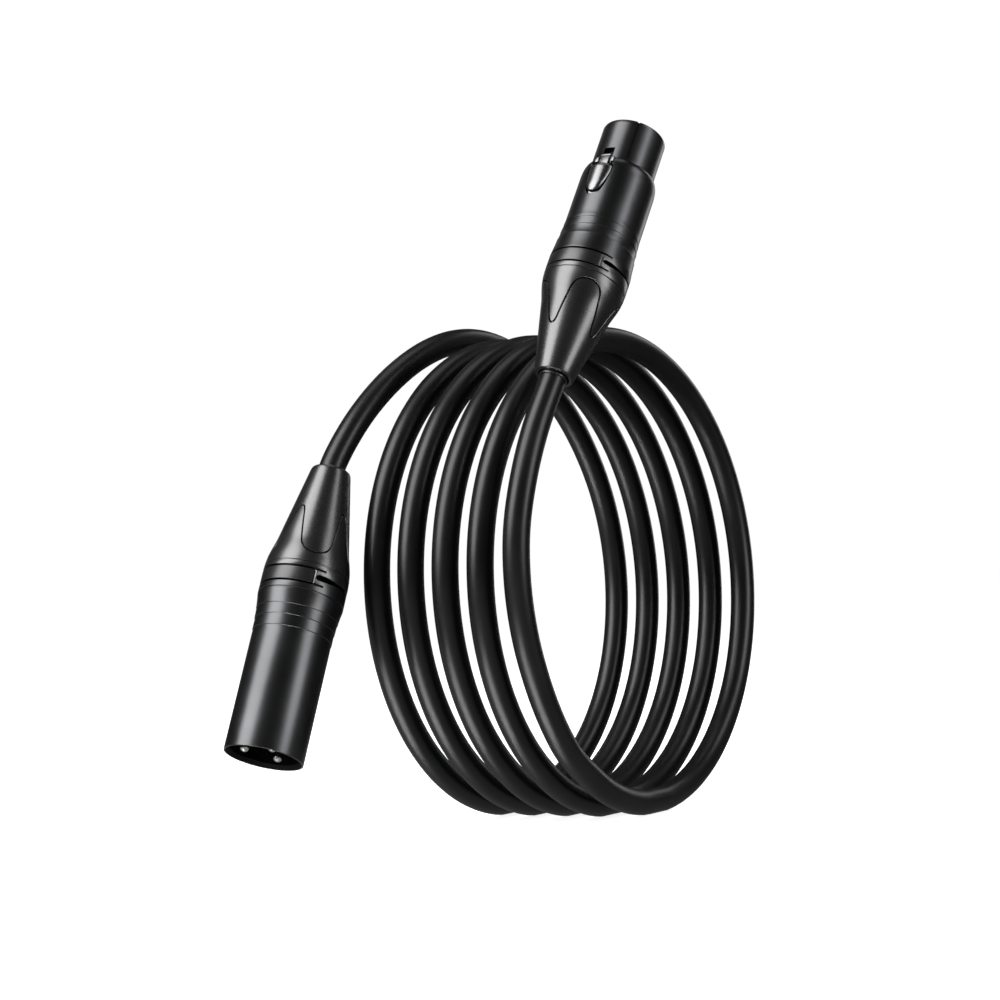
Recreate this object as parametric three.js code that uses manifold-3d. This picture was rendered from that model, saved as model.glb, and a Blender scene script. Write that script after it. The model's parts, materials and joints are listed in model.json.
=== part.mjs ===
import * as THREE from "three";
import { mergeVertices } from "three/addons/utils/BufferGeometryUtils.js";
import Module from "manifold-3d";

const wasm = await Module();
wasm.setup();

// Two-metre microphone cable, wound in turns that stand on edge, with a male and a female
// three-pole connector. Millimetres and degrees. The coil's axis is Y and +Z is up.

const clearance = 0.3; // air between neighbours that seat on each other
const overshoot = 1; // how far a cutter runs past the piece that it cuts
const roundSteps = 36; // facets round a turned piece
const smallSteps = 12; // facets round a pin, sleeve or wire

// Cord and coil. Turn angle 0 is the top of a turn, 90 its -X side, and Y grows with the angle.
const cordDiameter = 6.5;
const cordRadius = cordDiameter / 2;
const turnRadius = 59.5;
const turnPitch = 10.24;
const stepsPerTurn = 24;
const coilSides = 6;
const leadSides = 10;
const leadStep = 5;
const coilFirstAngle = 150;
const coilLastAngle = 1770;
const tuckAngle = 215; // before this the first turn draws in
const tuckDepth = 1.67;
const tuckSpan = 68;
const flareAngle = 1740; // after this the last turn opens
const flareRise = 1;
const flareSpan = 30;
const flareShift = 0.43;
const footCut = cordDiameter / 10; // flat on the undersides that the coil stands on

// Connector placing: the middle of the boot's narrow end, measured from the coil's middle, the
// direction from there to the mating end, and the side that counts as angle 0.
const femalePlace = {
  at: [-45.66, -1.33, 45.79],
  along: [0.49803, -0.07194, 0.86417],
  side: [-0.68475, -0.64407, 0.34102],
};
const malePlace = {
  at: [-61.91, 53.65, 29.03],
  along: [-0.40779, 0.00636, -0.91305],
  side: [-0.67894, -0.67075, 0.29856],
};

// Route of each free stretch between the coil and the boot, from the coil's middle.
const femaleRoute = [
  [-46.3, 3.6, -34.7],
  [-52.4, 3.2, -24.6],
  [-56.8, 2.9, -13.6],
  [-59.2, 2.5, -1.8],
  [-59.3, 1.9, 10.5],
  [-56.9, 0.8, 22.7],
  [-52.3, -0.3, 34.5],
];
const maleRoute = [
  [19.2, 49.9, 58.3],
  [8.5, 49.7, 61.6],
  [-2.7, 49.5, 62.9],
  [-14.1, 49.3, 62.0],
  [-25.3, 49.3, 59.0],
  [-35.9, 49.8, 54.1],
  [-45.8, 50.8, 47.4],
  [-54.6, 52.2, 39.0],
];

// Boot, bushing, ring and chuck, the same on both connectors. Stations run from just behind the
// boot's narrow end (0) to the mating end.
const bootLipRound = 1;
const bootMouthRadius = 4.6; // of the boot's cone at station 0
const bootBellRadius = 3.95;
const bootBellDepth = 5;
const bootTail = 5.5; // how far before the parting the boot ends inside
const collarTail = 2.5; // full-diameter length of the bushing before the parting
const coneShare = 0.74; // the boot's straight cone takes this share of the length to the collar
const coneRise = 0.735; // and rises by this share of the growth in radius
const flareCurve = [
  [0.84, 0.872],
  [0.9, 0.942],
  [0.95, 0.977],
  [1, 1],
];
const bushingWall = 1.5;
const fingerCount = 4;
// Edge of a finger: share of the way round from root to tip, share of the finger's length.
const fingerCurve = [
  [0, 0],
  [0.15, 0.012],
  [0.3, 0.05],
  [0.4, 0.1],
  [0.5, 0.2],
  [0.56, 0.31],
  [0.62, 0.45],
  [0.68, 0.59],
  [0.74, 0.72],
  [0.8, 0.83],
  [0.86, 0.915],
  [0.93, 0.975],
  [1, 1],
];
const partingGap = 0.6;
const threadRadius = 8.0;
const threadLength = 9.25;
const ringWidth = 3.6;
const ringDepth = 1.15;
const ringGapFrom = 9.7;
const ringGapTo = 100;
const ringTrack = 15.5; // the two edge grooves run on this far past the ring's end
const ringGroove = 0.45;
const stepOver = 0.46; // how far the shell stands over its body before its first step down
const stepSlope = 0.3; // length of each step down
const chuckRadius = 6.1;
const chuckNose = 4.6; // ahead of the parting
const chuckNoseTaper = 1.6;
const chuckFlangeRadius = threadRadius - 0.1;
const chuckFlangeWidth = 3;
const chuckFlangeBore = 6.6;
const chuckSlot = 1.2;
const chuckSlots = 4;
const chuckTurn = 20;
const jacketPastParting = 6; // the jacket ends this far past the parting
const jacketRoom = 1; // between the jacket's end and the chuck's wide bore
const wireRadius = 0.75;
const wireCircle = 1.45;
const wireSides = 8;

// Contacts
const contactCircle = 4.95;
const contactCount = 3;
const pinRadius = 1.2;
const pinSetback = 1.7; // from the mouth back to the pin's tip
const cupRadius = 1.7;
const cupBore = 1.15;
const cupDepth = 3.2;
const cupPastParting = 13.2;
const carrierPastParting = 17.95;
const contactCollarRadius = 2.1;
const contactCollarWidth = 0.7;
const sleeveRadius = 1.7;
const sleeveBore = 1.3;
const sleeveDepth = 13;
const sleeveSlit = 0.4;
const entryRadius = 1.45;
const entryDepth = 0.8;
const contactTurn = 60; // nearest contacts stand this far to each side of the latch

// Male connector
const maleRearBore = threadRadius + 0.45;
const male = {
  bootStart: 1.3,
  parting: 32.05,
  collarRadius: 10.45,
  bodyRadius: maleRearBore + 1.1,
  collarLength: 3.5, // from the parting
  stepFrom: 6.1, // from the parting
  // Each step down: its distance from the parting, how far the shell then stands over its body.
  steps: [
    [7.45, 0.3],
    [10.1, 0.15],
    [12.9, 0],
  ],
  gapSide: -1, // the ring's gap and the fingers count their angles this way round
  fingerAngle: 3.2,
  fingerRoot: 6.05, // from the parting back to the broad curve between two fingers
  fingerReach: 12.6, // from there to a finger's tip
};
const socketRadius = male.bodyRadius - 1.35;
const socketDepth = 16.2;
const maleRimRound = 0.4;
const stopRingRadius = socketRadius - 0.6;
const stopRingWidth = 1;
const maleCarrierDepth = 7.8; // from the carrier's back to the stop ring
const maleLength =
  male.parting + carrierPastParting + maleCarrierDepth + stopRingWidth + socketDepth;
const catchAngle = 162;
const catchDepth = 0.6;
const keyTurn = 37; // from the latch to the key
const keyWidth = 1.0;
const keyDepth = 0.4;

// Female connector
const femaleRearBore = threadRadius + clearance;
const female = {
  bootStart: 1,
  parting: 29.8,
  collarRadius: 10.3,
  bodyRadius: femaleRearBore + 1.175,
  collarLength: 2.1,
  stepFrom: 5.4,
  steps: [
    [6.75, 0.3],
    [9.35, 0.12],
    [11.6, 0],
  ],
  gapSide: 1,
  fingerAngle: 4.2,
  fingerRoot: 5.6,
  fingerReach: 12,
};
const noseRadius = socketRadius - 0.18;
const noseBore = noseRadius - 0.92;
const noseLength = 11.4;
const noseRimRound = 0.4;
const shoulderLength = 4.6;
// The shoulder's curve: share of the fall from body to nose, share of the length.
const shoulderCurve = [
  [0, 0],
  [0.09, 0.4],
  [0.25, 0.62],
  [0.5, 0.78],
  [0.75, 0.86],
  [1, 0.9],
];
const carrierSetback = 0.8;
const carrierStep = 14.7; // from the rim back to the carrier's broad part
const femaleCarrierDepth = 8.95; // length of that broad part
const femaleLength =
  female.parting + carrierPastParting + femaleCarrierDepth + clearance + carrierStep;

// Latch, measured from the rim of the nose backwards.
const latchAngle = -38;
const tabFront = 14.6;
const tabLength = 8.2;
const tabWidth = 6.0;
const tabTipWidth = 2.6;
const tabThickness = 1.1;
const tabInset = 0.03;
const tabTop = female.bodyRadius - tabInset;
const tabUnderside = tabTop - tabThickness;
// The tab's side from tip to front: share of the growth in width, share of the length.
const tabSide = [
  [0, 0.04],
  [0.25, 0.25],
  [0.6, 0.5],
  [0.9, 0.75],
  [1, 0.92],
];
const tabTipFlat = 0.55; // share of the tip's width that is flat
const tabCorner = 0.35;
const pocketRelief = 1.5; // room behind the tab's tip
const latchFloor = 6.3;
const neckWidth = 2.5;
const neckRoot = 2.05; // how far the neck runs on under the tab
const neckFloor = 7.2;
const neckTop = noseRadius + 0.58;
const lugFront = 11.9;
const lugLength = 1.5;
const lugWidth = 5.4;
const hookFront = 11.1;
const hookTop = noseRadius + 0.43;
const windowFront = 8.7;
const pivotBack = 22.4;
const pivotHeight = femaleRearBore - 0.7;
const pivotRadius = 0.4;
const pivotReach = 4;
const eyeRadius = 1.15;
const eyeWidth = 3;
const springWidth = 2.4;
const springThickness = 0.3;
const springPeak = 3; // from the pivot forward to where the bow meets the tab
const springFront = 5;
const springBack = 1.5;

const finish = {
  cord: { color: 0x1b1b1d, roughness: 0.55, metalness: 0 },
  boot: { color: 0x151516, roughness: 0.5, metalness: 0 },
  bushing: { color: 0x131314, roughness: 0.4, metalness: 0 },
  shell: { color: 0x161617, roughness: 0.32, metalness: 0.6 },
  ring: { color: 0x111112, roughness: 0.45, metalness: 0 },
  carrier: { color: 0x101011, roughness: 0.6, metalness: 0 },
  chuck: { color: 0x202022, roughness: 0.6, metalness: 0 },
  silver: { color: 0xcfd0d2, roughness: 0.22, metalness: 1 },
  chrome: { color: 0xd8d9db, roughness: 0.12, metalness: 1 },
  wire: { color: 0x8f3a2c, roughness: 0.5, metalness: 0 },
};

const radians = THREE.MathUtils.degToRad;
const lerp = THREE.MathUtils.lerp;

// Solids: a closed geometry in, a closed geometry out, faces outward.

function solidOf(geometry) {
  const bare = geometry.index ? geometry.toNonIndexed() : geometry.clone();
  bare.deleteAttribute("normal");
  bare.deleteAttribute("uv");
  const merged = mergeVertices(bare, 1e-4);
  const corners = [];
  for (let i = 0; i < merged.index.count; i += 3) {
    const [a, b, c] = [0, 1, 2].map((k) => merged.index.getX(i + k));
    if (a !== b && b !== c && c !== a) corners.push(a, b, c);
  }
  const make = (triVerts) =>
    new wasm.Manifold(
      new wasm.Mesh({
        numProp: 3,
        vertProperties: merged.attributes.position.array,
        triVerts: new Uint32Array(triVerts),
      }),
    );
  const solid = make(corners);
  return solid.volume() > 0 ? solid : make(corners.reverse());
}

function geometryOf(solid) {
  const mesh = solid.getMesh();
  const geometry = new THREE.BufferGeometry();
  geometry.setAttribute("position", new THREE.BufferAttribute(mesh.vertProperties, 3));
  geometry.setIndex(new THREE.BufferAttribute(mesh.triVerts, 1));
  return geometry;
}

const cut = (body, ...tools) =>
  geometryOf(tools.reduce((left, tool) => left.subtract(solidOf(tool)), solidOf(body)));
const join = (body, ...more) =>
  geometryOf(more.reduce((sum, piece) => sum.add(solidOf(piece)), solidOf(body)));
const overlapOf = (a, b) => geometryOf(solidOf(a).intersect(solidOf(b)));

// Shapes along a connector's axis, which is Z: a profile is a closed list of [radius, station].

function revolve(profile, steps = roundSteps) {
  const loop = [...profile, profile[0]].map(([r, z]) => new THREE.Vector2(r, z));
  return new THREE.LatheGeometry(loop, steps).rotateX(Math.PI / 2);
}

function rod(radius, from, to, [x, y] = [0, 0], steps = smallSteps) {
  return new THREE.CylinderGeometry(radius, radius, to - from, steps)
    .rotateX(Math.PI / 2)
    .translate(x, y, (from + to) / 2);
}

function block([x0, x1], halfWidth, [z0, z1]) {
  return new THREE.BoxGeometry(x1 - x0, 2 * halfWidth, z1 - z0).translate(
    (x0 + x1) / 2,
    0,
    (z0 + z1) / 2,
  );
}

// An outline in [across, station], extruded outwards along X.
function plate(outline, x0, x1) {
  const shape = new THREE.Shape(outline.map(([y, z]) => new THREE.Vector2(y, z)));
  const geometry = new THREE.ExtrudeGeometry(shape, { depth: x1 - x0, bevelEnabled: false });
  const toSide = new THREE.Matrix4().makeBasis(
    new THREE.Vector3(0, 1, 0),
    new THREE.Vector3(0, 0, 1),
    new THREE.Vector3(1, 0, 0),
  );
  return geometry.applyMatrix4(toSide).translate(x0, 0, 0);
}

// A slice of cake between two angles, to cut rings open.
function wedge(from, to, stations, reach = 20) {
  const slices = Math.ceil((to - from) / 30);
  const rim = Array.from({ length: slices + 1 }, (_, i) => {
    const angle = radians(lerp(from, to, i / slices));
    return new THREE.Vector2(reach * Math.cos(angle), reach * Math.sin(angle));
  });
  const shape = new THREE.Shape([new THREE.Vector2(0, 0), ...rim]);
  const depth = stations[1] - stations[0];
  const geometry = new THREE.ExtrudeGeometry(shape, { depth, bevelEnabled: false });
  return geometry.translate(0, 0, stations[0]);
}

// Rings of points joined into one skin. Each ring is a closed loop; the first and last ring meet
// when the skin is a ring itself, and are closed by a fan when it is a tube.
function skin(rings, { tube = false } = {}) {
  const count = rings.length;
  const sides = rings[0].length;
  const corners = [];
  const at = (i, k) => (i % count) * sides + (k % sides);
  for (let i = 0; i < (tube ? count - 1 : count); i++) {
    for (let k = 0; k < sides; k++) {
      const [a, b, c, d] = [at(i, k), at(i + 1, k), at(i + 1, k + 1), at(i, k + 1)];
      corners.push(a, b, c, a, c, d);
    }
  }
  for (let k = 1; tube && k < sides - 1; k++) {
    corners.push(at(0, 0), at(0, k), at(0, k + 1));
    const end = (count - 1) * sides;
    corners.push(end, end + k + 1, end + k);
  }
  const geometry = new THREE.BufferGeometry();
  const values = rings.flat().flatMap((p) => [p.x, p.y, p.z]);
  geometry.setAttribute("position", new THREE.BufferAttribute(new Float32Array(values), 3));
  geometry.setIndex(corners);
  return geometry;
}

// A turned piece whose profile depends on the angle.
function wavyRevolve(profileAt, steps = roundSteps) {
  const rings = Array.from({ length: steps }, (_, i) => {
    const angle = (360 * i) / steps;
    const [c, s] = [Math.cos(radians(angle)), Math.sin(radians(angle))];
    return profileAt(angle).map(([r, z]) => new THREE.Vector3(r * c, r * s, z));
  });
  return skin(rings);
}

// A round cord along a smooth curve through points.
function cordAlong(points, radius, sides, step) {
  const path = new THREE.CatmullRomCurve3(points, false, "centripetal");
  const outline = Array.from({ length: sides }, (_, k) => {
    const angle = (2 * Math.PI * k) / sides;
    return new THREE.Vector2(radius * Math.cos(angle), radius * Math.sin(angle));
  });
  const steps = Math.max(2, Math.round(path.getLength() / step));
  return new THREE.ExtrudeGeometry(new THREE.Shape(outline), {
    steps,
    bevelEnabled: false,
    extrudePath: path,
  });
}

// Coil

function turnPoint(angle) {
  const tuck = Math.max(0, (tuckAngle - angle) / tuckSpan);
  const flare = Math.max(0, (angle - flareAngle) / flareSpan);
  const radius = turnRadius - tuckDepth * tuck ** 2 + flareRise * flare ** 2;
  const along = (turnPitch * angle) / 360 - flareShift * flare ** 2;
  return new THREE.Vector3(
    -radius * Math.sin(radians(angle)),
    along,
    radius * Math.cos(radians(angle)),
  );
}

// The tube's middle line: full steps, and at each end one straight run of the cord's diameter.
function coilLine() {
  const step = 360 / stepsPerTurn;
  const tail = (cordDiameter / turnRadius) * THREE.MathUtils.RAD2DEG;
  const count = Math.round((coilLastAngle - coilFirstAngle) / step);
  const inner = Array.from({ length: count + 1 }, (_, i) => coilFirstAngle + i * step);
  return [coilFirstAngle - tail, ...inner, coilLastAngle + tail];
}

function coilSolid() {
  const angles = coilLine();
  const points = angles.map(turnPoint);
  const rings = points.map((point, i) => {
    const before = points[Math.max(i - 1, 0)];
    const after = points[Math.min(i + 1, points.length - 1)];
    const along = after.clone().sub(before).normalize();
    const outward = new THREE.Vector3(point.x, 0, point.z).normalize();
    outward.addScaledVector(along, -outward.dot(along)).normalize();
    const across = along.clone().cross(outward);
    return Array.from({ length: coilSides }, (_, k) => {
      const turn = (2 * Math.PI * k) / coilSides;
      return point
        .clone()
        .addScaledVector(outward, cordRadius * Math.cos(turn))
        .addScaledVector(across, cordRadius * Math.sin(turn));
    });
  });
  return skin(rings, { tube: true });
}

// Least air between two turns, from points a quarter turn or more apart along the line.
function leastCoilGap() {
  const angles = [];
  for (let a = coilFirstAngle; a <= coilLastAngle; a += 5) angles.push(a);
  const points = angles.map(turnPoint);
  let least = Infinity;
  points.forEach((p, i) => {
    for (let j = i + 18; j < points.length; j++) least = Math.min(least, p.distanceTo(points[j]));
  });
  return least - cordDiameter;
}

// Connector rear: boot, bushing, ring and chuck

// A value read off a curve of [share, value] points.
function readCurve(curve, share) {
  const i = Math.max(
    1,
    curve.findIndex(([at]) => at >= share),
  );
  const [from, to] = [curve[i - 1], curve[i]];
  return lerp(from[1], to[1], (share - from[0]) / (to[0] - from[0]));
}

function rearRadius(body, station) {
  const share = Math.min(1, station / (body.parting - collarTail));
  const rise = readCurve([[0, 0], [coneShare, coneRise], ...flareCurve], share);
  return lerp(bootMouthRadius, body.collarRadius, rise);
}

// The hidden cone between boot and bushing.
function seatRadius(body, station) {
  const slope = coneRise / (coneShare * (body.parting - collarTail));
  return bootMouthRadius + (body.collarRadius - bootMouthRadius) * slope * station - bushingWall;
}

function fingerEdge(body, angle) {
  const half = 180 / fingerCount;
  const turn = angle - body.gapSide * body.fingerAngle;
  const fromRoot = Math.abs(turn - 2 * half * Math.round(turn / (2 * half)));
  const reach = body.fingerReach * readCurve(fingerCurve, fromRoot / half);
  return body.parting - body.fingerRoot - reach;
}

// How far the two edges draw back along the axis to leave the clearance across the wave.
function edgeSetback(body, angle) {
  const run = rearRadius(body, fingerEdge(body, angle)) * radians(2);
  const rise = fingerEdge(body, angle + 1) - fingerEdge(body, angle - 1);
  return (clearance / 2) * Math.hypot(1, rise / run);
}

function bootSolid(body) {
  const end = body.parting - bootTail;
  const bore = cordRadius + clearance;
  const lip = rearRadius(body, body.bootStart + bootLipRound);
  const lipCurve = [0, 0.4, 0.75, 1].map((share) => {
    const turn = (share * Math.PI) / 2;
    return [
      lip - bootLipRound * (1 - Math.sin(turn)),
      body.bootStart + bootLipRound * (1 - Math.cos(turn)),
    ];
  });
  return wavyRevolve((angle) => {
    const edge = fingerEdge(body, angle) - edgeSetback(body, angle);
    const outer = [0.25, 0.5, 0.75, 1].map((share) => {
      const station = lerp(body.bootStart + bootLipRound, edge, share);
      return [rearRadius(body, station), station];
    });
    return [
      ...lipCurve,
      ...outer,
      [seatRadius(body, edge) - clearance, edge],
      [seatRadius(body, end) - clearance, end],
      [bore, end],
      [bore, bootBellDepth],
      [bootBellRadius, body.bootStart],
    ];
  });
}

// The shell's outside from the parting to its plain body: collar, blend and steps.
function steppedOutline(body) {
  const stepRadius = body.bodyRadius + stepOver;
  const blend = [0, 0.33, 0.66, 1].map((share) => [
    lerp(body.collarRadius, stepRadius, Math.sin((share * Math.PI) / 2)),
    body.parting + lerp(body.collarLength, body.stepFrom, share),
  ]);
  const overs = [stepOver, ...body.steps.map(([, over]) => over)];
  const steps = body.steps.flatMap(([distance], i) => [
    [body.bodyRadius + overs[i], body.parting + distance],
    [body.bodyRadius + overs[i + 1], body.parting + distance + stepSlope],
  ]);
  return [[body.collarRadius, body.parting + partingGap / 2], ...blend, ...steps];
}

// The band that the ring lies in, as a cutter: open where the ring is open.
function ringBand(body, from, to, gap) {
  const inner = body.collarRadius - ringDepth - clearance;
  const outer = body.collarRadius + overshoot;
  const band = revolve([
    [inner, from],
    [outer, from],
    [outer, to],
    [inner, to],
  ]);
  return cut(band, gap);
}

function gapWedge(body, stations, spare = 0) {
  const [from, to] = [ringGapFrom + spare, ringGapTo - spare];
  return body.gapSide > 0 ? wedge(from, to, stations) : wedge(-to, -from, stations);
}

function trackWedge(body, stations) {
  const [from, to] = [ringGapFrom - overshoot, ringGapFrom + ringTrack];
  return body.gapSide > 0 ? wedge(from, to, stations) : wedge(-to, -from, stations);
}

function ringCutters(body) {
  const half = ringWidth / 2 + clearance;
  const [from, to] = [body.parting - half, body.parting + half];
  const stations = [from - overshoot, to + overshoot];
  const recess = ringBand(body, from, to, gapWedge(body, stations, clearance));
  const tracks = [
    [from, from + ringGroove],
    [to - ringGroove, to],
  ].map(([low, high]) => {
    const shallow = body.collarRadius - ringGroove;
    const band = revolve([
      [shallow, low],
      [body.collarRadius + overshoot, low],
      [body.collarRadius + overshoot, high],
      [shallow, high],
    ]);
    return overlapOf(band, trackWedge(body, stations));
  });
  return [recess, ...tracks];
}

function ringSolid(body) {
  const [from, to] = [body.parting - ringWidth / 2, body.parting + ringWidth / 2];
  const inner = body.collarRadius - ringDepth;
  const ring = revolve([
    [inner, from],
    [body.collarRadius, from],
    [body.collarRadius, to],
    [inner, to],
  ]);
  return cut(ring, gapWedge(body, [from - overshoot, to + overshoot]));
}

function bushingSolid(body) {
  const face = body.parting - partingGap / 2;
  const end = body.parting + threadLength;
  const seatEnd = body.parting - bootTail + clearance;
  const bore = chuckRadius + clearance;
  const blank = wavyRevolve((angle) => {
    const edge = fingerEdge(body, angle) + edgeSetback(body, angle);
    const outer = [0, 0.3, 0.55, 0.75, 0.9, 1].map((share) => {
      const station = lerp(edge, body.parting - collarTail, share);
      return [rearRadius(body, station), station];
    });
    return [
      ...outer,
      [body.collarRadius, face],
      [threadRadius, face],
      [threadRadius, end],
      [bore, end],
      [bore, seatEnd],
      [seatRadius(body, seatEnd), seatEnd],
      [seatRadius(body, edge), edge],
    ];
  });
  return cut(blank, ...ringCutters(body));
}

function chuckSolid(body) {
  const from = body.parting - chuckNose;
  const flange = body.parting + threadLength + clearance;
  const to = flange + chuckFlangeWidth;
  const bore = cordRadius + clearance;
  const boreEnd = body.parting + jacketPastParting + jacketRoom;
  const sleeve = revolve([
    [bore, from],
    [chuckRadius - chuckSlot / 2, from],
    [chuckRadius, from + chuckNoseTaper],
    [chuckRadius, flange],
    [chuckFlangeRadius, flange],
    [chuckFlangeRadius, to],
    [chuckFlangeBore, to],
    [chuckFlangeBore, flange],
    [bore, boreEnd],
  ]);
  const across = [-chuckRadius - overshoot, chuckRadius + overshoot];
  const along = [from - overshoot, boreEnd - jacketRoom];
  const slots = Array.from({ length: chuckSlots / 2 }, (_, i) =>
    block(across, chuckSlot / 2, along).rotateZ(radians((360 * i) / chuckSlots + chuckTurn)),
  );
  return cut(sleeve, ...slots);
}

const contactAngles = (latch) =>
  Array.from({ length: contactCount }, (_, i) => latch + contactTurn + (360 * i) / contactCount);
const onCircle = (radius, angle) => [
  radius * Math.cos(radians(angle)),
  radius * Math.sin(radians(angle)),
];

// A conductor from the end of the jacket into the solder cup.
function wireSolid(body, angle) {
  const jacketEnd = body.parting + jacketPastParting;
  const cup = body.parting + cupPastParting;
  const place = (radius, station) =>
    new THREE.Vector3(...onCircle(radius, angle), station);
  const points = [
    place(wireCircle, jacketEnd + clearance),
    place(wireCircle, jacketEnd + clearance + 2 * wireRadius),
    place((wireCircle + contactCircle) / 2, (jacketEnd + cup) / 2),
    place(contactCircle, cup - 2 * wireRadius),
    place(contactCircle, cup + cupDepth - clearance),
  ];
  return cordAlong(points, wireRadius, wireSides, 2 * wireRadius);
}

// The part of a contact that the carrier holds: solder cup, collar and shank to the front.
function cupProfile(body) {
  const cup = body.parting + cupPastParting;
  const carrier = body.parting + carrierPastParting;
  return [
    [0, cup + cupDepth],
    [cupBore, cup + cupDepth],
    [cupBore, cup],
    [cupRadius, cup],
    [cupRadius, carrier - clearance - contactCollarWidth],
    [contactCollarRadius, carrier - clearance - contactCollarWidth],
    [contactCollarRadius, carrier - clearance],
  ];
}

// Male connector

function malePinSolid([x, y]) {
  const carrier = male.parting + carrierPastParting;
  const tip = maleLength - pinSetback;
  const round = [0.3, 0.6, 0.85, 1].map((share) => {
    const angle = (share * Math.PI) / 2;
    return [pinRadius * Math.cos(angle), tip - pinRadius * (1 - Math.sin(angle))];
  });
  const profile = [
    ...cupProfile(male),
    [pinRadius, carrier - clearance],
    [pinRadius, tip - pinRadius],
    ...round,
  ];
  return revolve(profile, smallSteps).translate(x, y, 0);
}

function maleInsertSolid(spots) {
  const from = male.parting + carrierPastParting;
  const floor = maleLength - socketDepth;
  const stop = floor - stopRingWidth;
  const body = revolve([
    [0, from],
    [maleRearBore - clearance, from],
    [maleRearBore - clearance, stop - clearance],
    [stopRingRadius - clearance, stop - clearance],
    [stopRingRadius - clearance, floor],
    [0, floor],
  ]);
  const hole = (spot) => rod(pinRadius + clearance, from - overshoot, floor + overshoot, spot);
  return cut(body, ...spots.map(hole));
}

function maleShellSolid() {
  const floor = maleLength - socketDepth;
  const stop = floor - stopRingWidth;
  const body = revolve([
    [maleRearBore, male.parting + partingGap / 2],
    ...steppedOutline(male),
    [male.bodyRadius, maleLength - maleRimRound],
    [male.bodyRadius - maleRimRound / 3, maleLength - maleRimRound / 4],
    [male.bodyRadius - maleRimRound, maleLength],
    [socketRadius + maleRimRound / 2, maleLength],
    [socketRadius, maleLength - maleRimRound / 2],
    [socketRadius, floor],
    [stopRingRadius, floor],
    [stopRingRadius, stop],
    [maleRearBore, stop],
  ]);
  const catchFrom = maleLength - (noseLength - windowFront) - 2 * clearance;
  const latchCatch = block(
    [socketRadius - overshoot, socketRadius + catchDepth],
    neckWidth / 2 + clearance,
    [catchFrom, catchFrom + noseLength - windowFront - maleRimRound],
  ).rotateZ(radians(catchAngle));
  const key = block(
    [socketRadius - keyDepth, (socketRadius + male.bodyRadius) / 2],
    keyWidth / 2 - clearance / 2,
    [floor + clearance, maleLength - 2 * maleRimRound],
  ).rotateZ(radians(catchAngle - keyTurn));
  return join(cut(body, ...ringCutters(male), latchCatch), key);
}

// Female connector

function sleeveSolid([x, y]) {
  const carrier = female.parting + carrierPastParting;
  const tip = femaleLength - carrierSetback - entryDepth - clearance;
  const profile = [
    ...cupProfile(female),
    [sleeveRadius, carrier - clearance],
    [sleeveRadius, tip],
    [sleeveBore, tip],
    [sleeveBore, tip - sleeveDepth],
    [0, tip - sleeveDepth - sleeveBore / 2],
  ];
  const across = [-sleeveRadius - overshoot, sleeveRadius + overshoot];
  const slit = block(across, sleeveSlit / 2, [tip - sleeveDepth / 2, tip + overshoot]);
  const turned = cut(revolve(profile, smallSteps), slit);
  return turned.rotateZ(Math.atan2(y, x)).translate(x, y, 0);
}

function femaleInsertSolid(spots) {
  const from = female.parting + carrierPastParting;
  const step = femaleLength - carrierStep - clearance;
  const front = femaleLength - carrierSetback;
  const body = revolve([
    [0, from],
    [femaleRearBore - clearance, from],
    [femaleRearBore - clearance, step],
    [noseBore - clearance, step],
    [noseBore - clearance, front],
    [0, front],
  ]);
  const holes = spots.flatMap((spot) => [
    rod(sleeveRadius + clearance, from - overshoot, front - entryDepth, spot),
    rod(entryRadius, front - entryDepth - overshoot, front + overshoot, spot),
  ]);
  const groove = block([latchFloor, femaleRearBore + overshoot], tabWidth / 2 + clearance, [
    from - overshoot,
    femaleLength - windowFront,
  ]).rotateZ(radians(latchAngle));
  const bearing = pivotRod(pivotRadius + clearance, pivotReach + clearance);
  return cut(body, ...holes, groove, bearing.rotateZ(radians(latchAngle)));
}

// Outline of the latch's tab, and of its pocket when it grows by a margin.
function tabOutline(margin, back) {
  const front = femaleLength - tabFront + margin;
  const tip = femaleLength - tabFront - tabLength - margin - back;
  const wide = tabWidth / 2 + margin;
  const narrow = tabTipWidth / 2 + margin;
  const right = [
    [narrow * tabTipFlat, tip],
    ...tabSide.map(([growth, share]) => [lerp(narrow, wide, growth), lerp(tip, front, share)]),
    [wide - tabCorner, front],
  ];
  return [...right, ...right.map(([y, z]) => [-y, z]).reverse()];
}

function pivotRod(radius, reach) {
  return new THREE.CylinderGeometry(radius, radius, 2 * reach, smallSteps).translate(
    pivotHeight,
    0,
    femaleLength - pivotBack,
  );
}

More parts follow.
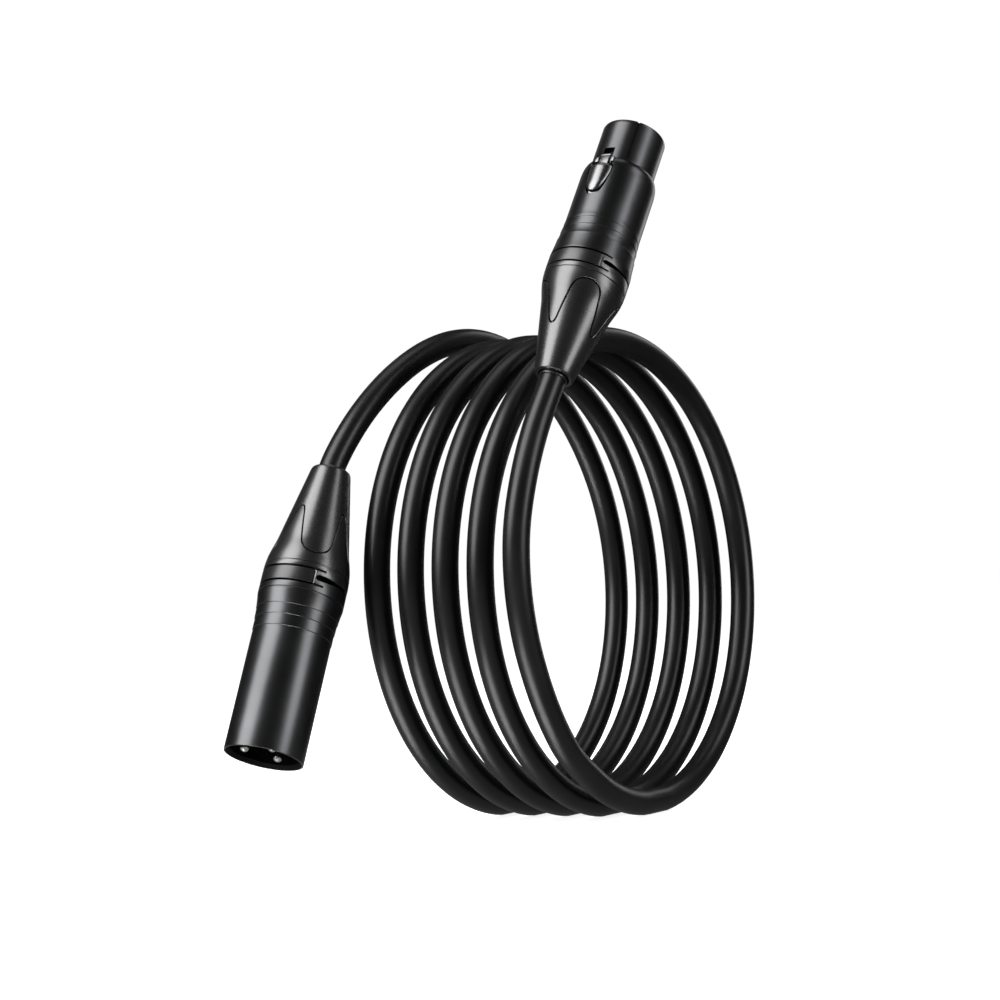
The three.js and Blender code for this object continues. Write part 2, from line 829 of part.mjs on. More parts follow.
function femaleShellSolid() {
  const noseFrom = femaleLength - noseLength;
  const shoulder = noseFrom - shoulderLength;
  const step = femaleLength - carrierStep;
  const body = revolve([
    [femaleRearBore, female.parting + partingGap / 2],
    ...steppedOutline(female),
    ...shoulderCurve.map(([fall, share]) => [
      lerp(female.bodyRadius, noseRadius, fall),
      shoulder + share * shoulderLength,
    ]),
    [noseRadius, femaleLength - noseRimRound],
    [noseRadius - noseRimRound / 3, femaleLength - noseRimRound / 4],
    [noseRadius - noseRimRound, femaleLength],
    [noseBore + noseRimRound / 3, femaleLength],
    [noseBore, femaleLength - noseRimRound / 2],
    [noseBore, step],
    [femaleRearBore, step],
  ]);
  const outside = female.bodyRadius + overshoot;
  const toLatch = radians(latchAngle);
  const tabPocket = plate(tabOutline(clearance, pocketRelief - clearance), latchFloor, outside);
  const lugPocket = block([latchFloor, outside], lugWidth / 2 + clearance, [
    femaleLength - tabFront - clearance,
    femaleLength - lugFront + clearance,
  ]);
  const neckSlot = block([latchFloor, outside], neckWidth / 2 + clearance, [
    femaleLength - tabFront - clearance,
    femaleLength - windowFront,
  ]);
  const bearings = pivotRod(pivotRadius + clearance, pivotReach + clearance);
  const keyGroove = block([noseRadius - keyDepth, outside], keyWidth / 2, [
    noseFrom + clearance,
    femaleLength + overshoot,
  ]).rotateZ(toLatch + radians(keyTurn));
  return cut(
    body,
    ...ringCutters(female),
    tabPocket.rotateZ(toLatch),
    lugPocket.rotateZ(toLatch),
    neckSlot.rotateZ(toLatch),
    bearings.rotateZ(toLatch),
    keyGroove,
  );
}

function latchSolid() {
  const front = femaleLength - tabFront;
  const tip = front - tabLength;
  const curved = revolve([
    [tabUnderside, tip - overshoot],
    [tabTop, tip - overshoot],
    [tabTop, front + overshoot],
    [tabUnderside, front + overshoot],
  ]);
  const tab = overlapOf(curved, plate(tabOutline(0, 0), 0, tabTop + overshoot));
  const tabMiddle = tabTop - tabThickness / 2;
  const lugBack = femaleLength - lugFront - lugLength;
  const lugMiddle = lugBack + lugLength / 2;
  const root = block([neckFloor, tabMiddle], neckWidth / 2, [front - neckRoot, front - tabCorner]);
  const neck = block([neckFloor, neckTop], neckWidth / 2, [front - neckRoot, lugMiddle]);
  const lugs = block([neckFloor, neckTop], lugWidth / 2, [lugBack, lugBack + lugLength]);
  const hook = block([neckFloor, hookTop], neckWidth / 2, [lugMiddle, femaleLength - hookFront]);
  const eye = pivotRod(eyeRadius, eyeWidth / 2);
  const pivot = femaleLength - pivotBack;
  const webHalf = 0.7 * eyeRadius;
  const web = block([pivotHeight, tabMiddle], (0.9 * eyeWidth) / 2, [
    pivot - webHalf,
    pivot + webHalf,
  ]);
  const lever = join(tab, root, neck, lugs, hook, eye, web);
  return cut(lever, pivotRod(pivotRadius + clearance, eyeWidth)).rotateZ(radians(latchAngle));
}

const latchPinSolid = () => pivotRod(pivotRadius, pivotReach).rotateZ(radians(latchAngle));

// A bow strip from the carrier's groove up to the underside of the tab, close to the pivot.
function latchSpringSolid() {
  const pivot = femaleLength - pivotBack;
  const low = latchFloor + clearance;
  const high = tabUnderside - clearance;
  const bow = new THREE.CatmullRomCurve3([
    new THREE.Vector3(low + springThickness / 2, 0, pivot + springBack),
    new THREE.Vector3((low + high) / 2, 0, pivot + (springBack + springPeak) / 2 - 0.2),
    new THREE.Vector3(high - springThickness / 2, 0, pivot + springPeak),
    new THREE.Vector3((low + high) / 2, 0, pivot + (springFront + springPeak) / 2),
    new THREE.Vector3(low + springThickness / 2, 0, pivot + springFront),
  ]);
  const line = bow.getPoints(12);
  const rings = line.map((point, i) => {
    const before = line[Math.max(i - 1, 0)];
    const after = line[Math.min(i + 1, line.length - 1)];
    const along = after.clone().sub(before).normalize();
    const lift = new THREE.Vector3(along.z, 0, -along.x).multiplyScalar(springThickness / 2);
    const side = new THREE.Vector3(0, springWidth / 2, 0);
    return [
      point.clone().add(lift).add(side),
      point.clone().add(lift).sub(side),
      point.clone().sub(lift).sub(side),
      point.clone().sub(lift).add(side),
    ];
  });
  return skin(rings, { tube: true }).rotateZ(radians(latchAngle));
}

// Assembly

const part = new THREE.Group();
const assembly = new THREE.Group();
part.add(assembly);

function addPiece(parent, name, geometry, look) {
  const closed = geometryOf(solidOf(geometry));
  closed.computeVertexNormals();
  const mesh = new THREE.Mesh(closed, new THREE.MeshStandardMaterial(look));
  mesh.name = name;
  parent.add(mesh);
}

function connectorGroup(place) {
  const along = new THREE.Vector3(...place.along).normalize();
  const side = new THREE.Vector3(...place.side);
  side.addScaledVector(along, -side.dot(along)).normalize();
  const group = new THREE.Group();
  group.quaternion.setFromRotationMatrix(
    new THREE.Matrix4().makeBasis(side, along.clone().cross(side), along),
  );
  group.position.set(...place.at);
  assembly.add(group);
  return group;
}

function addRear(group, prefix, body) {
  addPiece(group, prefix + "_boot", bootSolid(body), finish.boot);
  addPiece(group, prefix + "_bushing", bushingSolid(body), finish.bushing);
  addPiece(group, prefix + "_ring", ringSolid(body), finish.ring);
  addPiece(group, prefix + "_chuck", chuckSolid(body), finish.chuck);
}

const maleGroup = connectorGroup(malePlace);
const maleAngles = contactAngles(catchAngle);
const maleSpots = maleAngles.map((angle) => onCircle(contactCircle, angle));
addRear(maleGroup, "male", male);
addPiece(maleGroup, "male_shell", maleShellSolid(), finish.shell);
addPiece(maleGroup, "male_insert", maleInsertSolid(maleSpots), finish.carrier);
maleSpots.forEach((spot, i) => {
  addPiece(maleGroup, "male_pin_" + (i + 1), malePinSolid(spot), finish.silver);
  addPiece(maleGroup, "male_wire_" + (i + 1), wireSolid(male, maleAngles[i]), finish.wire);
});

const femaleGroup = connectorGroup(femalePlace);
const femaleAngles = contactAngles(latchAngle);
const femaleSpots = femaleAngles.map((angle) => onCircle(contactCircle, angle));
addRear(femaleGroup, "female", female);
addPiece(femaleGroup, "female_shell", femaleShellSolid(), finish.shell);
addPiece(femaleGroup, "female_insert", femaleInsertSolid(femaleSpots), finish.carrier);
femaleSpots.forEach((spot, i) => {
  addPiece(femaleGroup, "female_contact_" + (i + 1), sleeveSolid(spot), finish.silver);
  addPiece(femaleGroup, "female_wire_" + (i + 1), wireSolid(female, femaleAngles[i]), finish.wire);
});
addPiece(femaleGroup, "latch", latchSolid(), finish.chrome);
addPiece(femaleGroup, "latch_pin", latchPinSolid(), finish.silver);
addPiece(femaleGroup, "latch_spring", latchSpringSolid(), finish.silver);

// The coil stands on the undersides of its turns, cut flat.
const floorLevel = -(turnRadius + cordRadius) + footCut;
const reach = 4 * turnRadius;
const underFloor = new THREE.BoxGeometry(reach, reach, reach).translate(
  0,
  0,
  floorLevel - reach / 2,
);
addPiece(assembly, "cable_coil", cut(coilSolid(), underFloor), finish.cord);
console.log("least gap between turns, mm:", leastCoilGap().toFixed(2));

// A free stretch starts where the coil ends, runs its route and goes straight into the boot.
function leadSolid(place, body, coilEnd, coilBefore, route) {
  const at = new THREE.Vector3(...place.at);
  const along = new THREE.Vector3(...place.along).normalize();
  const away = coilEnd.clone().sub(coilBefore).normalize();
  const start = coilEnd.clone().addScaledVector(away, clearance);
  const inside = [bootBellDepth, body.parting / 2, body.parting + jacketPastParting];
  const points = [
    start,
    start.clone().addScaledVector(away, cordRadius),
    ...route.map((p) => new THREE.Vector3(...p)),
    at,
    ...inside.map((station) => at.clone().addScaledVector(along, station)),
  ];
  const path = new THREE.CatmullRomCurve3(points, false, "centripetal");
  console.log("free stretch with its end in the boot, mm:", path.getLength().toFixed(0));
  return cordAlong(points, cordRadius, leadSides, leadStep);
}

const line = coilLine().map(turnPoint);
addPiece(
  assembly,
  "female_lead",
  leadSolid(femalePlace, female, line[0], line[1], femaleRoute),
  finish.cord,
);
addPiece(
  assembly,
  "male_lead",
  leadSolid(malePlace, male, line.at(-1), line.at(-2), maleRoute),
  finish.cord,
);

// The part's origin is the middle of its footprint, on the surface that it stands on.
part.updateMatrixWorld(true);
const extent = new THREE.Box3().setFromObject(part, true);
const middle = extent.getCenter(new THREE.Vector3());
assembly.position.set(-middle.x, -middle.y, -extent.min.z);

export default part;
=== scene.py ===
import json
import math

import bmesh
import bpy
from mathutils import Matrix, Vector


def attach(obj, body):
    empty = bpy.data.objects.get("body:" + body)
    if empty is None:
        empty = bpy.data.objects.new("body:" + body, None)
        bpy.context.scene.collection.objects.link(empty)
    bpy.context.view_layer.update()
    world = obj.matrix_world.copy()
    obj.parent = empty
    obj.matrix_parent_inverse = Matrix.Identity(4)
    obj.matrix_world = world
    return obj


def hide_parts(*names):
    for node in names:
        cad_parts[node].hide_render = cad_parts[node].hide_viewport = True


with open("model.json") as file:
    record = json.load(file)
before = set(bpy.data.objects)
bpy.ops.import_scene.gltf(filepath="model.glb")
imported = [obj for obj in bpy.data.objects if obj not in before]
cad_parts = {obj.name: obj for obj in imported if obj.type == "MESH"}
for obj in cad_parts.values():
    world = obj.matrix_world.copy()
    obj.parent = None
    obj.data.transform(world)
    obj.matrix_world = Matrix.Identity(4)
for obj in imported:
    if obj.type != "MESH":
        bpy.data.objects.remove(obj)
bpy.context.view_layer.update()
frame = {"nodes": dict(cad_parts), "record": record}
nodes = frame["nodes"]
mm = 0.001

# The coil's middle in the part's frame, and the camera as it stands from there, in millimetres.
stand = {"middle": Vector((19.148, -24.765, 62.1)), "floor": 0.0}
view = {
    "from": Vector((-501.74, -297.0, -1.46)),
    "right": Vector((0.5660, -0.8227, -0.0525)),
    "down": Vector((0.0, 0.0637, -0.9980)),
    "lens": 82.372,
    "sensor": 36.0,
}


def makeCamera():
    data = bpy.data.cameras.new("camera")
    data.lens = view["lens"]
    data.sensor_width = view["sensor"]
    data.clip_start = 0.01
    camera = bpy.data.objects.new("camera", data)
    right = view["right"].normalized()
    up = -view["down"]
    up = (up - right * up.dot(right)).normalized()
    back = right.cross(up)
    turn = Matrix((right, up, back)).transposed().to_4x4()
    camera.matrix_world = Matrix.Translation((stand["middle"] + view["from"]) * mm) @ turn
    bpy.context.scene.collection.objects.link(camera)
    bpy.context.scene.camera = camera


# Shader maths: a wire wraps one socket, and an expression on wires adds Math nodes.
class Wire:
    def __init__(self, paint, socket):
        self.paint, self.socket = paint, socket

    def work(self, operation, a, b):
        return self.paint.node("ShaderNodeMath", {"operation": operation}, {0: a, 1: b})

    def __add__(self, other):
        return self.work("ADD", self, other)

    def __radd__(self, other):
        return self.work("ADD", other, self)

    def __sub__(self, other):
        return self.work("SUBTRACT", self, other)

    def __rsub__(self, other):
        return self.work("SUBTRACT", other, self)

    def __mul__(self, other):
        return self.work("MULTIPLY", self, other)

    def __rmul__(self, other):
        return self.work("MULTIPLY", other, self)


# A node tree of a material or of the world.
class Paint:
    def __init__(self, owner):
        owner.use_nodes = True
        self.owner, self.tree = owner, owner.node_tree
        self.tree.nodes.clear()

    # Any node: its type, its settings first, then the values or wires of its sockets.
    def node(self, kind, settings=None, sockets=None, out=0):
        made = self.tree.nodes.new(kind)
        for key, value in (settings or {}).items():
            if key == "stops":
                ramp = made.color_ramp
                while len(ramp.elements) < len(value):
                    ramp.elements.new(0.5)
                for element, (at, level) in zip(ramp.elements, value):
                    element.position = at
                    element.color = (level, level, level, 1.0)
            else:
                setattr(made, key, value)
        for key, value in (sockets or {}).items():
            if isinstance(value, Wire):
                self.tree.links.new(value.socket, made.inputs[key])
            else:
                made.inputs[key].default_value = value
        return Wire(self, made.outputs[out]) if made.outputs else made

    def noise(self, size, detail, roughness):
        point = self.node("ShaderNodeTexCoord", out="Object")
        sockets = {
            "Vector": point,
            "Scale": 1.0 / size,
            "Detail": detail,
            "Roughness": roughness,
        }
        return self.node("ShaderNodeTexNoise", {}, sockets, out="Fac")

    def ramp(self, value, stops):
        return self.node("ShaderNodeValToRGB", {"stops": stops}, {0: value})

    def blend(self, share, first, second):
        settings = {"data_type": "RGBA"}
        return self.node("ShaderNodeMix", settings, {0: share, 6: first, 7: second}, out=2)

    def fade(self, value, span, levels):
        settings = {"interpolation_type": "SMOOTHSTEP"}
        return self.node("ShaderNodeMapRange", settings, {
            "Value": value, "From Min": span[0], "From Max": span[1],
            "To Min": levels[0], "To Max": levels[1],
        })

    # Whether a ray comes from the camera, and whether a surface has mirrored or passed it.
    def rays(self):
        camera, glossy, passed = (self.node("ShaderNodeLightPath", out="Is " + way + " Ray")
                                  for way in ("Camera", "Glossy", "Transmission"))
        return camera, glossy + passed

    def bump(self, height, depth):
        return self.node("ShaderNodeBump", {}, {"Distance": depth, "Height": height})

    def surface(self, shader, kind="ShaderNodeOutputMaterial"):
        self.node(kind, {}, {"Surface": shader})
        return self.owner


def rgb(*levels):
    return (*levels, 1.0)


# Finishes: two shades that drift into each other, roughness, and a fine grain in millimetres.
finishLooks = {
    "cord": {
        "shades": ((0.0040, 0.0040, 0.0042), (0.0070, 0.0070, 0.0074)),
        "rough": 0.34, "drift": 0.08, "grain": 0.40, "depth": 0.003, "specular": 0.45,
    },
    "boot": {
        "shades": ((0.0040, 0.0040, 0.0042), (0.0066, 0.0066, 0.0070)),
        "rough": 0.28, "drift": 0.08, "grain": 0.30, "depth": 0.003, "specular": 0.95,
        "ior": 1.62,
    },
    "bushing": {
        "shades": ((0.0040, 0.0040, 0.0042), (0.0064, 0.0064, 0.0068)),
        "rough": 0.29, "drift": 0.07, "grain": 0.25, "depth": 0.003, "specular": 0.95,
        "ior": 1.62,
    },
    "ring": {
        "shades": ((0.0040, 0.0040, 0.0042), (0.0064, 0.0064, 0.0068)),
        "rough": 0.33, "drift": 0.07, "grain": 0.25, "depth": 0.003, "specular": 0.85,
    },
    "shell": {
        "shades": ((0.074, 0.075, 0.077), (0.088, 0.089, 0.092)),
        "rough": 0.30, "drift": 0.07, "grain": 0.16, "depth": 0.003, "metal": 1.0,
    },
    "carrier": {
        "shades": ((0.0035, 0.0035, 0.0037), (0.0060, 0.0060, 0.0063)),
        "rough": 0.50, "drift": 0.10, "grain": 0.40, "depth": 0.008, "specular": 0.5,
    },
    # socket: near black and barely reflective; painted shade for the inside of the male shell's
    # pin socket, whose real wall is the shell's metal
    "socket": {
        "shades": ((0.0020, 0.0020, 0.0021), (0.0032, 0.0032, 0.0034)),
        "rough": 0.60, "drift": 0.08, "grain": 0.40, "depth": 0.006, "specular": 0.08,
    },
    "chuck": {
        "shades": ((0.020, 0.020, 0.021), (0.035, 0.035, 0.037)),
        "rough": 0.55, "drift": 0.10, "grain": 0.40, "depth": 0.010, "specular": 0.5,
    },
    "silver": {
        "shades": ((0.58, 0.575, 0.56), (0.70, 0.69, 0.675)),
        "rough": 0.16, "drift": 0.10, "grain": 0.25, "depth": 0.002, "metal": 1.0,
    },
    "latch": {
        "shades": ((0.160, 0.160, 0.163), (0.195, 0.195, 0.198)),
        "rough": 0.28, "drift": 0.06, "grain": 0.25, "depth": 0.002, "metal": 1.0,
    },
    "steel": {
        "shades": ((0.45, 0.45, 0.46), (0.56, 0.56, 0.57)),
        "rough": 0.28, "drift": 0.10, "grain": 0.25, "depth": 0.002, "metal": 1.0,
    },
    "wire": {
        "shades": ((0.26, 0.035, 0.02), (0.34, 0.05, 0.03)),
        "rough": 0.40, "drift": 0.08, "grain": 0.30, "depth": 0.004, "specular": 0.5,
    },
}


def makeFinish(name, look):
    paint = Paint(bpy.data.materials.new(name + " finish"))
    cloud = paint.noise(12 * mm, 3.0, 0.55)
    grain = paint.noise(look["grain"] * mm, 2.0, 0.6)
    share = paint.ramp(cloud, [(0.35, 0.0), (0.68, 1.0)])
    dark, light = look["shades"]
    sockets = {
        "Base Color": paint.blend(share, rgb(*dark), rgb(*light)),
        "Roughness": (cloud - 0.5) * look["drift"] + (grain - 0.5) * look["drift"] + look["rough"],
        "Normal": paint.bump(grain, look["depth"] * mm),
        "Metallic": look.get("metal", 0.0),
        "Specular IOR Level": look.get("specular", 0.5),
        "IOR": look.get("ior", 1.5),
    }
    return paint.surface(paint.node("ShaderNodeBsdfPrincipled", {}, sockets))


# Meshes: an edge that turns further than this, in degrees, stays sharp.
sharpTurn = 32.0


def smoothMesh(mesh, sharp=sharpTurn):
    mesh.polygons.foreach_set("use_smooth", [True] * len(mesh.polygons))
    mesh.set_sharp_from_angle(angle=math.radians(sharp))


def finishMesh(name, built, material, sharp=sharpTurn):
    bmesh.ops.remove_doubles(built, verts=built.verts, dist=1e-7)
    bmesh.ops.dissolve_degenerate(built, dist=1e-8, edges=built.edges)
    bmesh.ops.recalc_face_normals(built, faces=built.faces)
    mesh = bpy.data.meshes.new(name)
    built.to_mesh(mesh)
    built.free()
    smoothMesh(mesh, sharp)
    if material:
        mesh.materials.append(material)
    made = bpy.data.objects.new(name, mesh)
    bpy.context.scene.collection.objects.link(made)
    return made


# Adds a skin over rings of points, each with the same count.
def skin(built, rings, closed=False):
    sides = len(rings[0])
    rows = [[built.verts.new(p) for p in ring] for ring in rings]
    for i in range(len(rows) if closed else len(rows) - 1):
        a, b = rows[i], rows[(i + 1) % len(rows)]
        for k in range(sides):
            n = (k + 1) % sides
            built.faces.new((a[k], b[k], b[n], a[n]))
    if not closed:
        built.faces.new(rows[0])
        built.faces.new(list(reversed(rows[-1])))


# Rounds each corner of a closed outline of (radius, station, corner): the count stays the same.
def rounded(outline, steps=3):
    count = len(outline)
    result = []
    for i, (r, z, corner) in enumerate(outline):
        here = Vector((r, z))
        before = Vector(outline[i - 1][:2]) - here
        after = Vector(outline[(i + 1) % count][:2]) - here
        first = here + before * min(0.45, corner / max(before.length, 1e-6))
        last = here + after * min(0.45, corner / max(after.length, 1e-6))
        for k in range(steps + 1):
            t = k / steps
            point = first * (1 - t) ** 2 + here * 2 * t * (1 - t) + last * t ** 2
            result.append((point.x, point.y))
    return result


def turnedRings(profileAt, angles, matrix):
    rings = []
    for angle in angles:
        c, s = math.cos(math.radians(angle)), math.sin(math.radians(angle))
        rings.append([matrix @ Vector((r * c, r * s, z)) for r, z in profileAt(angle)])
    return rings


def turned(name, profileAt, angles, matrix, material, closed=True):
    built = bmesh.new()
    skin(built, turnedRings(profileAt, angles, matrix), closed)
    return finishMesh(name, built, material)


def evenAngles(count, extra=()):
    angles = {round(360.0 * i / count, 4) for i in range(count)}
    angles |= {round(a % 360.0, 4) for a in extra}
    return sorted(angles)


# A smooth value read off a table of (share, value).
def curveAt(table, share, ends=(None, None)):
    share = min(max(share, table[0][0]), table[-1][0])
    last = len(table) - 1
    i = next(k for k in range(1, last + 1) if table[k][0] >= share)

    def secant(k):
        (x0, y0), (x1, y1) = table[k - 1], table[k]
        return (y1 - y0) / (x1 - x0)

    def slope(k):
        if k == 0:
            return secant(1) if ends[0] is None else ends[0]
        if k == last:
            return secant(last) if ends[1] is None else ends[1]
        a, b = secant(k), secant(k + 1)
        return 2 * a * b / (a + b) if a * b > 0 else 0.0

    (x0, y0), (x1, y1) = table[i - 1], table[i]
    span = x1 - x0
    t = (share - x0) / span
    rise = (3 - 2 * t) * t * t
    lean = slope(i - 1) * t * (1 - t) ** 2 - slope(i) * t * t * (1 - t)
    return y0 + (y1 - y0) * rise + span * lean


def lerp(a, b, t):
    return a + (b - a) * t


def connectorMatrix(place):
    along = Vector(place["along"]).normalized()
    side = Vector(place["side"])
    side = (side - along * side.dot(along)).normalized()
    turn = Matrix((side, along.cross(side), along)).transposed().to_4x4()
    at = (Vector(place["at"]) + stand["middle"]) * mm
    return Matrix.Translation(at) @ turn @ Matrix.Scale(mm, 4)


# Cord: one line from boot to boot, through four and a half turns.
cord = {
    "diameter": 6.5,
    "turnRadius": 59.5,
    "pitch": 10.24,
    "turns": (150, 1770, 6),  # first and last angle, and the step between points
    "tuck": (215, 68, 1.67),  # before this angle, over this span, the turn draws in so far
    "flare": (1740, 30, 1.0, 0.43),  # past this angle: span, how far out and how far aside
    "into": (12, 5.4, 0.0),  # the line's points inside a connector
    "sides": 32,
    "spacing": 2.2,
    "femaleRoute": [
        (-38.6, 4.0, -43.6), (-46.3, 3.6, -34.7), (-52.4, 3.2, -24.6), (-56.8, 2.9, -13.6),
        (-59.2, 2.5, -1.8), (-59.3, 1.9, 10.5), (-56.9, 0.8, 22.7), (-52.3, -0.3, 34.5),
    ],
    "maleRoute": [
        (19.2, 49.9, 58.3), (8.5, 49.7, 61.6), (-2.7, 49.5, 62.9), (-14.1, 49.3, 62.0),
        (-25.3, 49.3, 59.0), (-35.9, 49.8, 54.1), (-45.8, 50.8, 47.4), (-54.6, 52.2, 39.0),
    ],
}
femalePlace = {
    "at": (-45.66, -1.33, 45.79),
    "along": (0.49803, -0.07194, 0.86417),
    "side": (-0.68475, -0.64407, 0.34102),
}
malePlace = {
    "at": (-61.91, 53.65, 29.03),
    "along": (-0.40779, 0.00636, -0.91305),
    "side": (-0.67894, -0.67075, 0.29856),
}


def turnPoint(angle):
    tuckEnd, tuckSpan, tuckDepth = cord["tuck"]
    flareStart, flareSpan, flareRise, flareShift = cord["flare"]
    tuck = max(0.0, (tuckEnd - angle) / tuckSpan)
    flare = max(0.0, (angle - flareStart) / flareSpan)
    radius = cord["turnRadius"] - tuckDepth * tuck ** 2 + flareRise * flare ** 2
    y = cord["pitch"] * angle / 360 - flareShift * flare ** 2
    turn = math.radians(angle)
    return Vector((-radius * math.sin(turn), y, radius * math.cos(turn)))


def cordLine():
    def inside(place):
        at, along = Vector(place["at"]), Vector(place["along"]).normalized()
        return [at + along * s for s in cord["into"]]

    first, last, step = cord["turns"]
    turns = [turnPoint(a) for a in range(first, last + 1, step)]
    female = inside(femalePlace) + [Vector(p) for p in reversed(cord["femaleRoute"])]
    male = [Vector(p) for p in cord["maleRoute"]] + list(reversed(inside(malePlace)))
    return [p + stand["middle"] for p in female + turns + male]


# A smooth line through points, with knots at the distances between them.
def smoothLine(points, spacing):
    knots = [0.0]
    for a, b in zip(points, points[1:]):
        knots.append(knots[-1] + math.sqrt((b - a).length))
    line = []
    for i in range(len(points) - 1):
        p0 = points[i - 1] if i else points[0] * 2 - points[1]
        p3 = points[i + 2] if i + 2 < len(points) else points[-1] * 2 - points[-2]
        p1, p2 = points[i], points[i + 1]
        t0 = knots[i - 1] if i else knots[0] - (knots[1] - knots[0])
        t3 = knots[i + 2] if i + 2 < len(points) else knots[-1] + (knots[-1] - knots[-2])
        t1, t2 = knots[i], knots[i + 1]
        pieces = max(1, round((p2 - p1).length / spacing))
        for k in range(pieces):
            t = t1 + (t2 - t1) * k / pieces
            a1 = p0 * ((t1 - t) / (t1 - t0)) + p1 * ((t - t0) / (t1 - t0))
            a2 = p1 * ((t2 - t) / (t2 - t1)) + p2 * ((t - t1) / (t2 - t1))
            a3 = p2 * ((t3 - t) / (t3 - t2)) + p3 * ((t - t2) / (t3 - t2))
            b1 = a1 * ((t2 - t) / (t2 - t0)) + a2 * ((t - t0) / (t2 - t0))
            b2 = a2 * ((t3 - t) / (t3 - t1)) + a3 * ((t - t1) / (t3 - t1))
            line.append(b1 * ((t2 - t) / (t2 - t1)) + b2 * ((t - t1) / (t2 - t1)))
    return line + [points[-1]]


def tubeRings(line, radius, sides):
    rings = []
    across = None
    for i, point in enumerate(line):
        along = (line[min(i + 1, len(line) - 1)] - line[max(i - 1, 0)]).normalized()
        if across is None:
            across = along.orthogonal()
        across = (across - along * across.dot(along)).normalized()
        lift = along.cross(across)
        turns = [2 * math.pi * k / sides for k in range(sides)]
        rings.append([(point + (across * math.cos(t) + lift * math.sin(t)) * radius) * mm
                      for t in turns])
    return rings


def makeCord(finishes):
    line = smoothLine(cordLine(), cord["spacing"])
    radius = cord["diameter"] / 2
    floor = stand["floor"] + radius
    line = [Vector((p.x, p.y, max(p.z, floor))) for p in line]  # flat where a turn stands
    built = bmesh.new()
    skin(built, tubeRings(line, radius, cord["sides"]))
    piece = finishMesh("cable", built, finishes["cord"])
    length = sum((b - a).length for a, b in zip(line, line[1:]))
    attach(piece, "cable")
    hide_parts("cable_coil", "female_lead", "male_lead")
    print("cable", round(length), "mm")
    return piece, line, length


# The back of a connector: stations run from behind the boot's narrow end to the mating end.
rear = {
    "mouthRadius": 4.6,
    "bell": 3.88,
    "bellDepth": 5.0,
    "gland": (3.2, 3.56, 0.42),  # sleeve on the cable in the boot's mouth: bore, radius, end
    "collarTail": 2.5,
    "curve": [(0, 0), (0.62, 0.6158), (0.74, 0.735), (0.84, 0.872), (0.9, 0.942), (0.95, 0.977),
              (1, 1)],
    "fingers": 4,
    "fingerCurve": [(0, 0), (0.15, 0.012), (0.3, 0.05), (0.4, 0.1), (0.5, 0.2), (0.56, 0.31),
                    (0.62, 0.45), (0.68, 0.59), (0.74, 0.73), (0.8, 0.855), (0.85, 0.93),
                    (0.9, 0.972), (0.95, 0.993), (1, 1)],
    "seatHalf": 2.1,  # half the width of the ring's seat
    "seatDepth": 1.4,
    "ringThickness": 1.15,
    "gap": (9.7, 100.0),  # where the ring is open
    "track": 15.5,  # the seat's two edges run on this far past the ring's end
    "trackDepth": 1.0,
    "hiddenSlot": 0.3,
    "lip": 0.13,  # round edge on both sides of the groove round the fingers
    "lineDepth": 0.2,  # of the fine lines beside the ring
    "spigot": (1.0, 4.0),  # the bushing's wall inside the bore, and how far back it starts
    "rows": (22, 20),  # stations along the boot and along the bushing
    "angles": 384,
    "bandAngles": 240,
}
male = {
    "start": 1.3,
    "lipRound": 0.95,
    "length": 75.0,
    "parting": 32.05,
    "collar": 10.45,
    "body": 9.55,
    "bore": 8.45,
    "way": -1,
    "fingerAt": 3.2,
    "fingerRoot": 6.05,
    "fingerReach": 12.6,
    "groove": (0.2, 0.35),  # width and depth of the groove round the fingers
    "ringLine": 0.46,
    "ringEnd": (0.6, 0.14),  # gap at the ring's end in degrees, and how far the end falls
    "landingBevel": (0.26, 1.8),
    "slot": [(2.7, 0.0), (2.78, 0.14), (2.95, 0.25), (3.3, 0.38), (3.7, 0.46), (5.0, 0.61),
             (6.3, 0.69), (11, 0.7), (17, 0.7), (22, 0.61), (26.7, 0.54), (31.8, 0.39),
             (37, 0.31), (60, 0.29)],
    "bushingLine": (3.37, 0.22),
    "shellLine": (3.62, 0.3),
    "collarLength": 3.9,
    "stepFrom": 7.2,
    "steps": [(7.45, 0.34, 0.24), (10.1, 0.10, 0.12), (12.9, -0.03, 0.0)],
}
female = {
    "start": 1.0,
    "lipRound": 0.4,
    "length": 71.7,
    "parting": 29.8,
    "collar": 10.3,
    "body": 9.475,
    "bore": 8.3,
    "way": 1,
    "fingerAt": 4.2,
    "fingerRoot": 5.6,
    "fingerReach": 12.0,
    "groove": (0.28, 0.55),
    "ringLine": 0.42,
    "ringEnd": (0.25, 0.06),
    "landingBevel": (0.05, 0.3),
    "slot": [(3.4, 0.0), (3.5, 0.12), (3.8, 0.23), (4.6, 0.36), (6.5, 0.5), (10, 0.56),
             (15.3, 0.56), (23, 0.44), (32, 0.28), (40, 0.25)],
    "bushingLine": (3.4, 0.26),
    "shellLine": None,
    "collarLength": 2.3,
    "stepFrom": 6.5,
    "steps": [(6.75, 0.38, 0.12), (9.35, 0.24, 0.0), (11.6, 0.1, 0.0)],
}


def rearRadius(body, station):
    share = station / (body["parting"] - rear["collarTail"])
    return lerp(rear["mouthRadius"], body["collar"], curveAt(rear["curve"], share, (None, 0.0)))


def fingerEdge(body, angle):
    half = 180 / rear["fingers"]
    turn = angle - body["way"] * body["fingerAt"]
    fromRoot = abs(turn - 2 * half * round(turn / (2 * half)))
    reach = curveAt(rear["fingerCurve"], fromRoot / half, (0.0, 0.0))
    return body["parting"] - body["fingerRoot"] - body["fingerReach"] * reach


# How much longer the groove beside a finger is along the axis than across itself.
def edgeSlant(body, angle):
    run = rearRadius(body, fingerEdge(body, angle)) * math.radians(1)
    rise = fingerEdge(body, angle + 0.5) - fingerEdge(body, angle - 0.5)
    return math.hypot(1, rise / run)


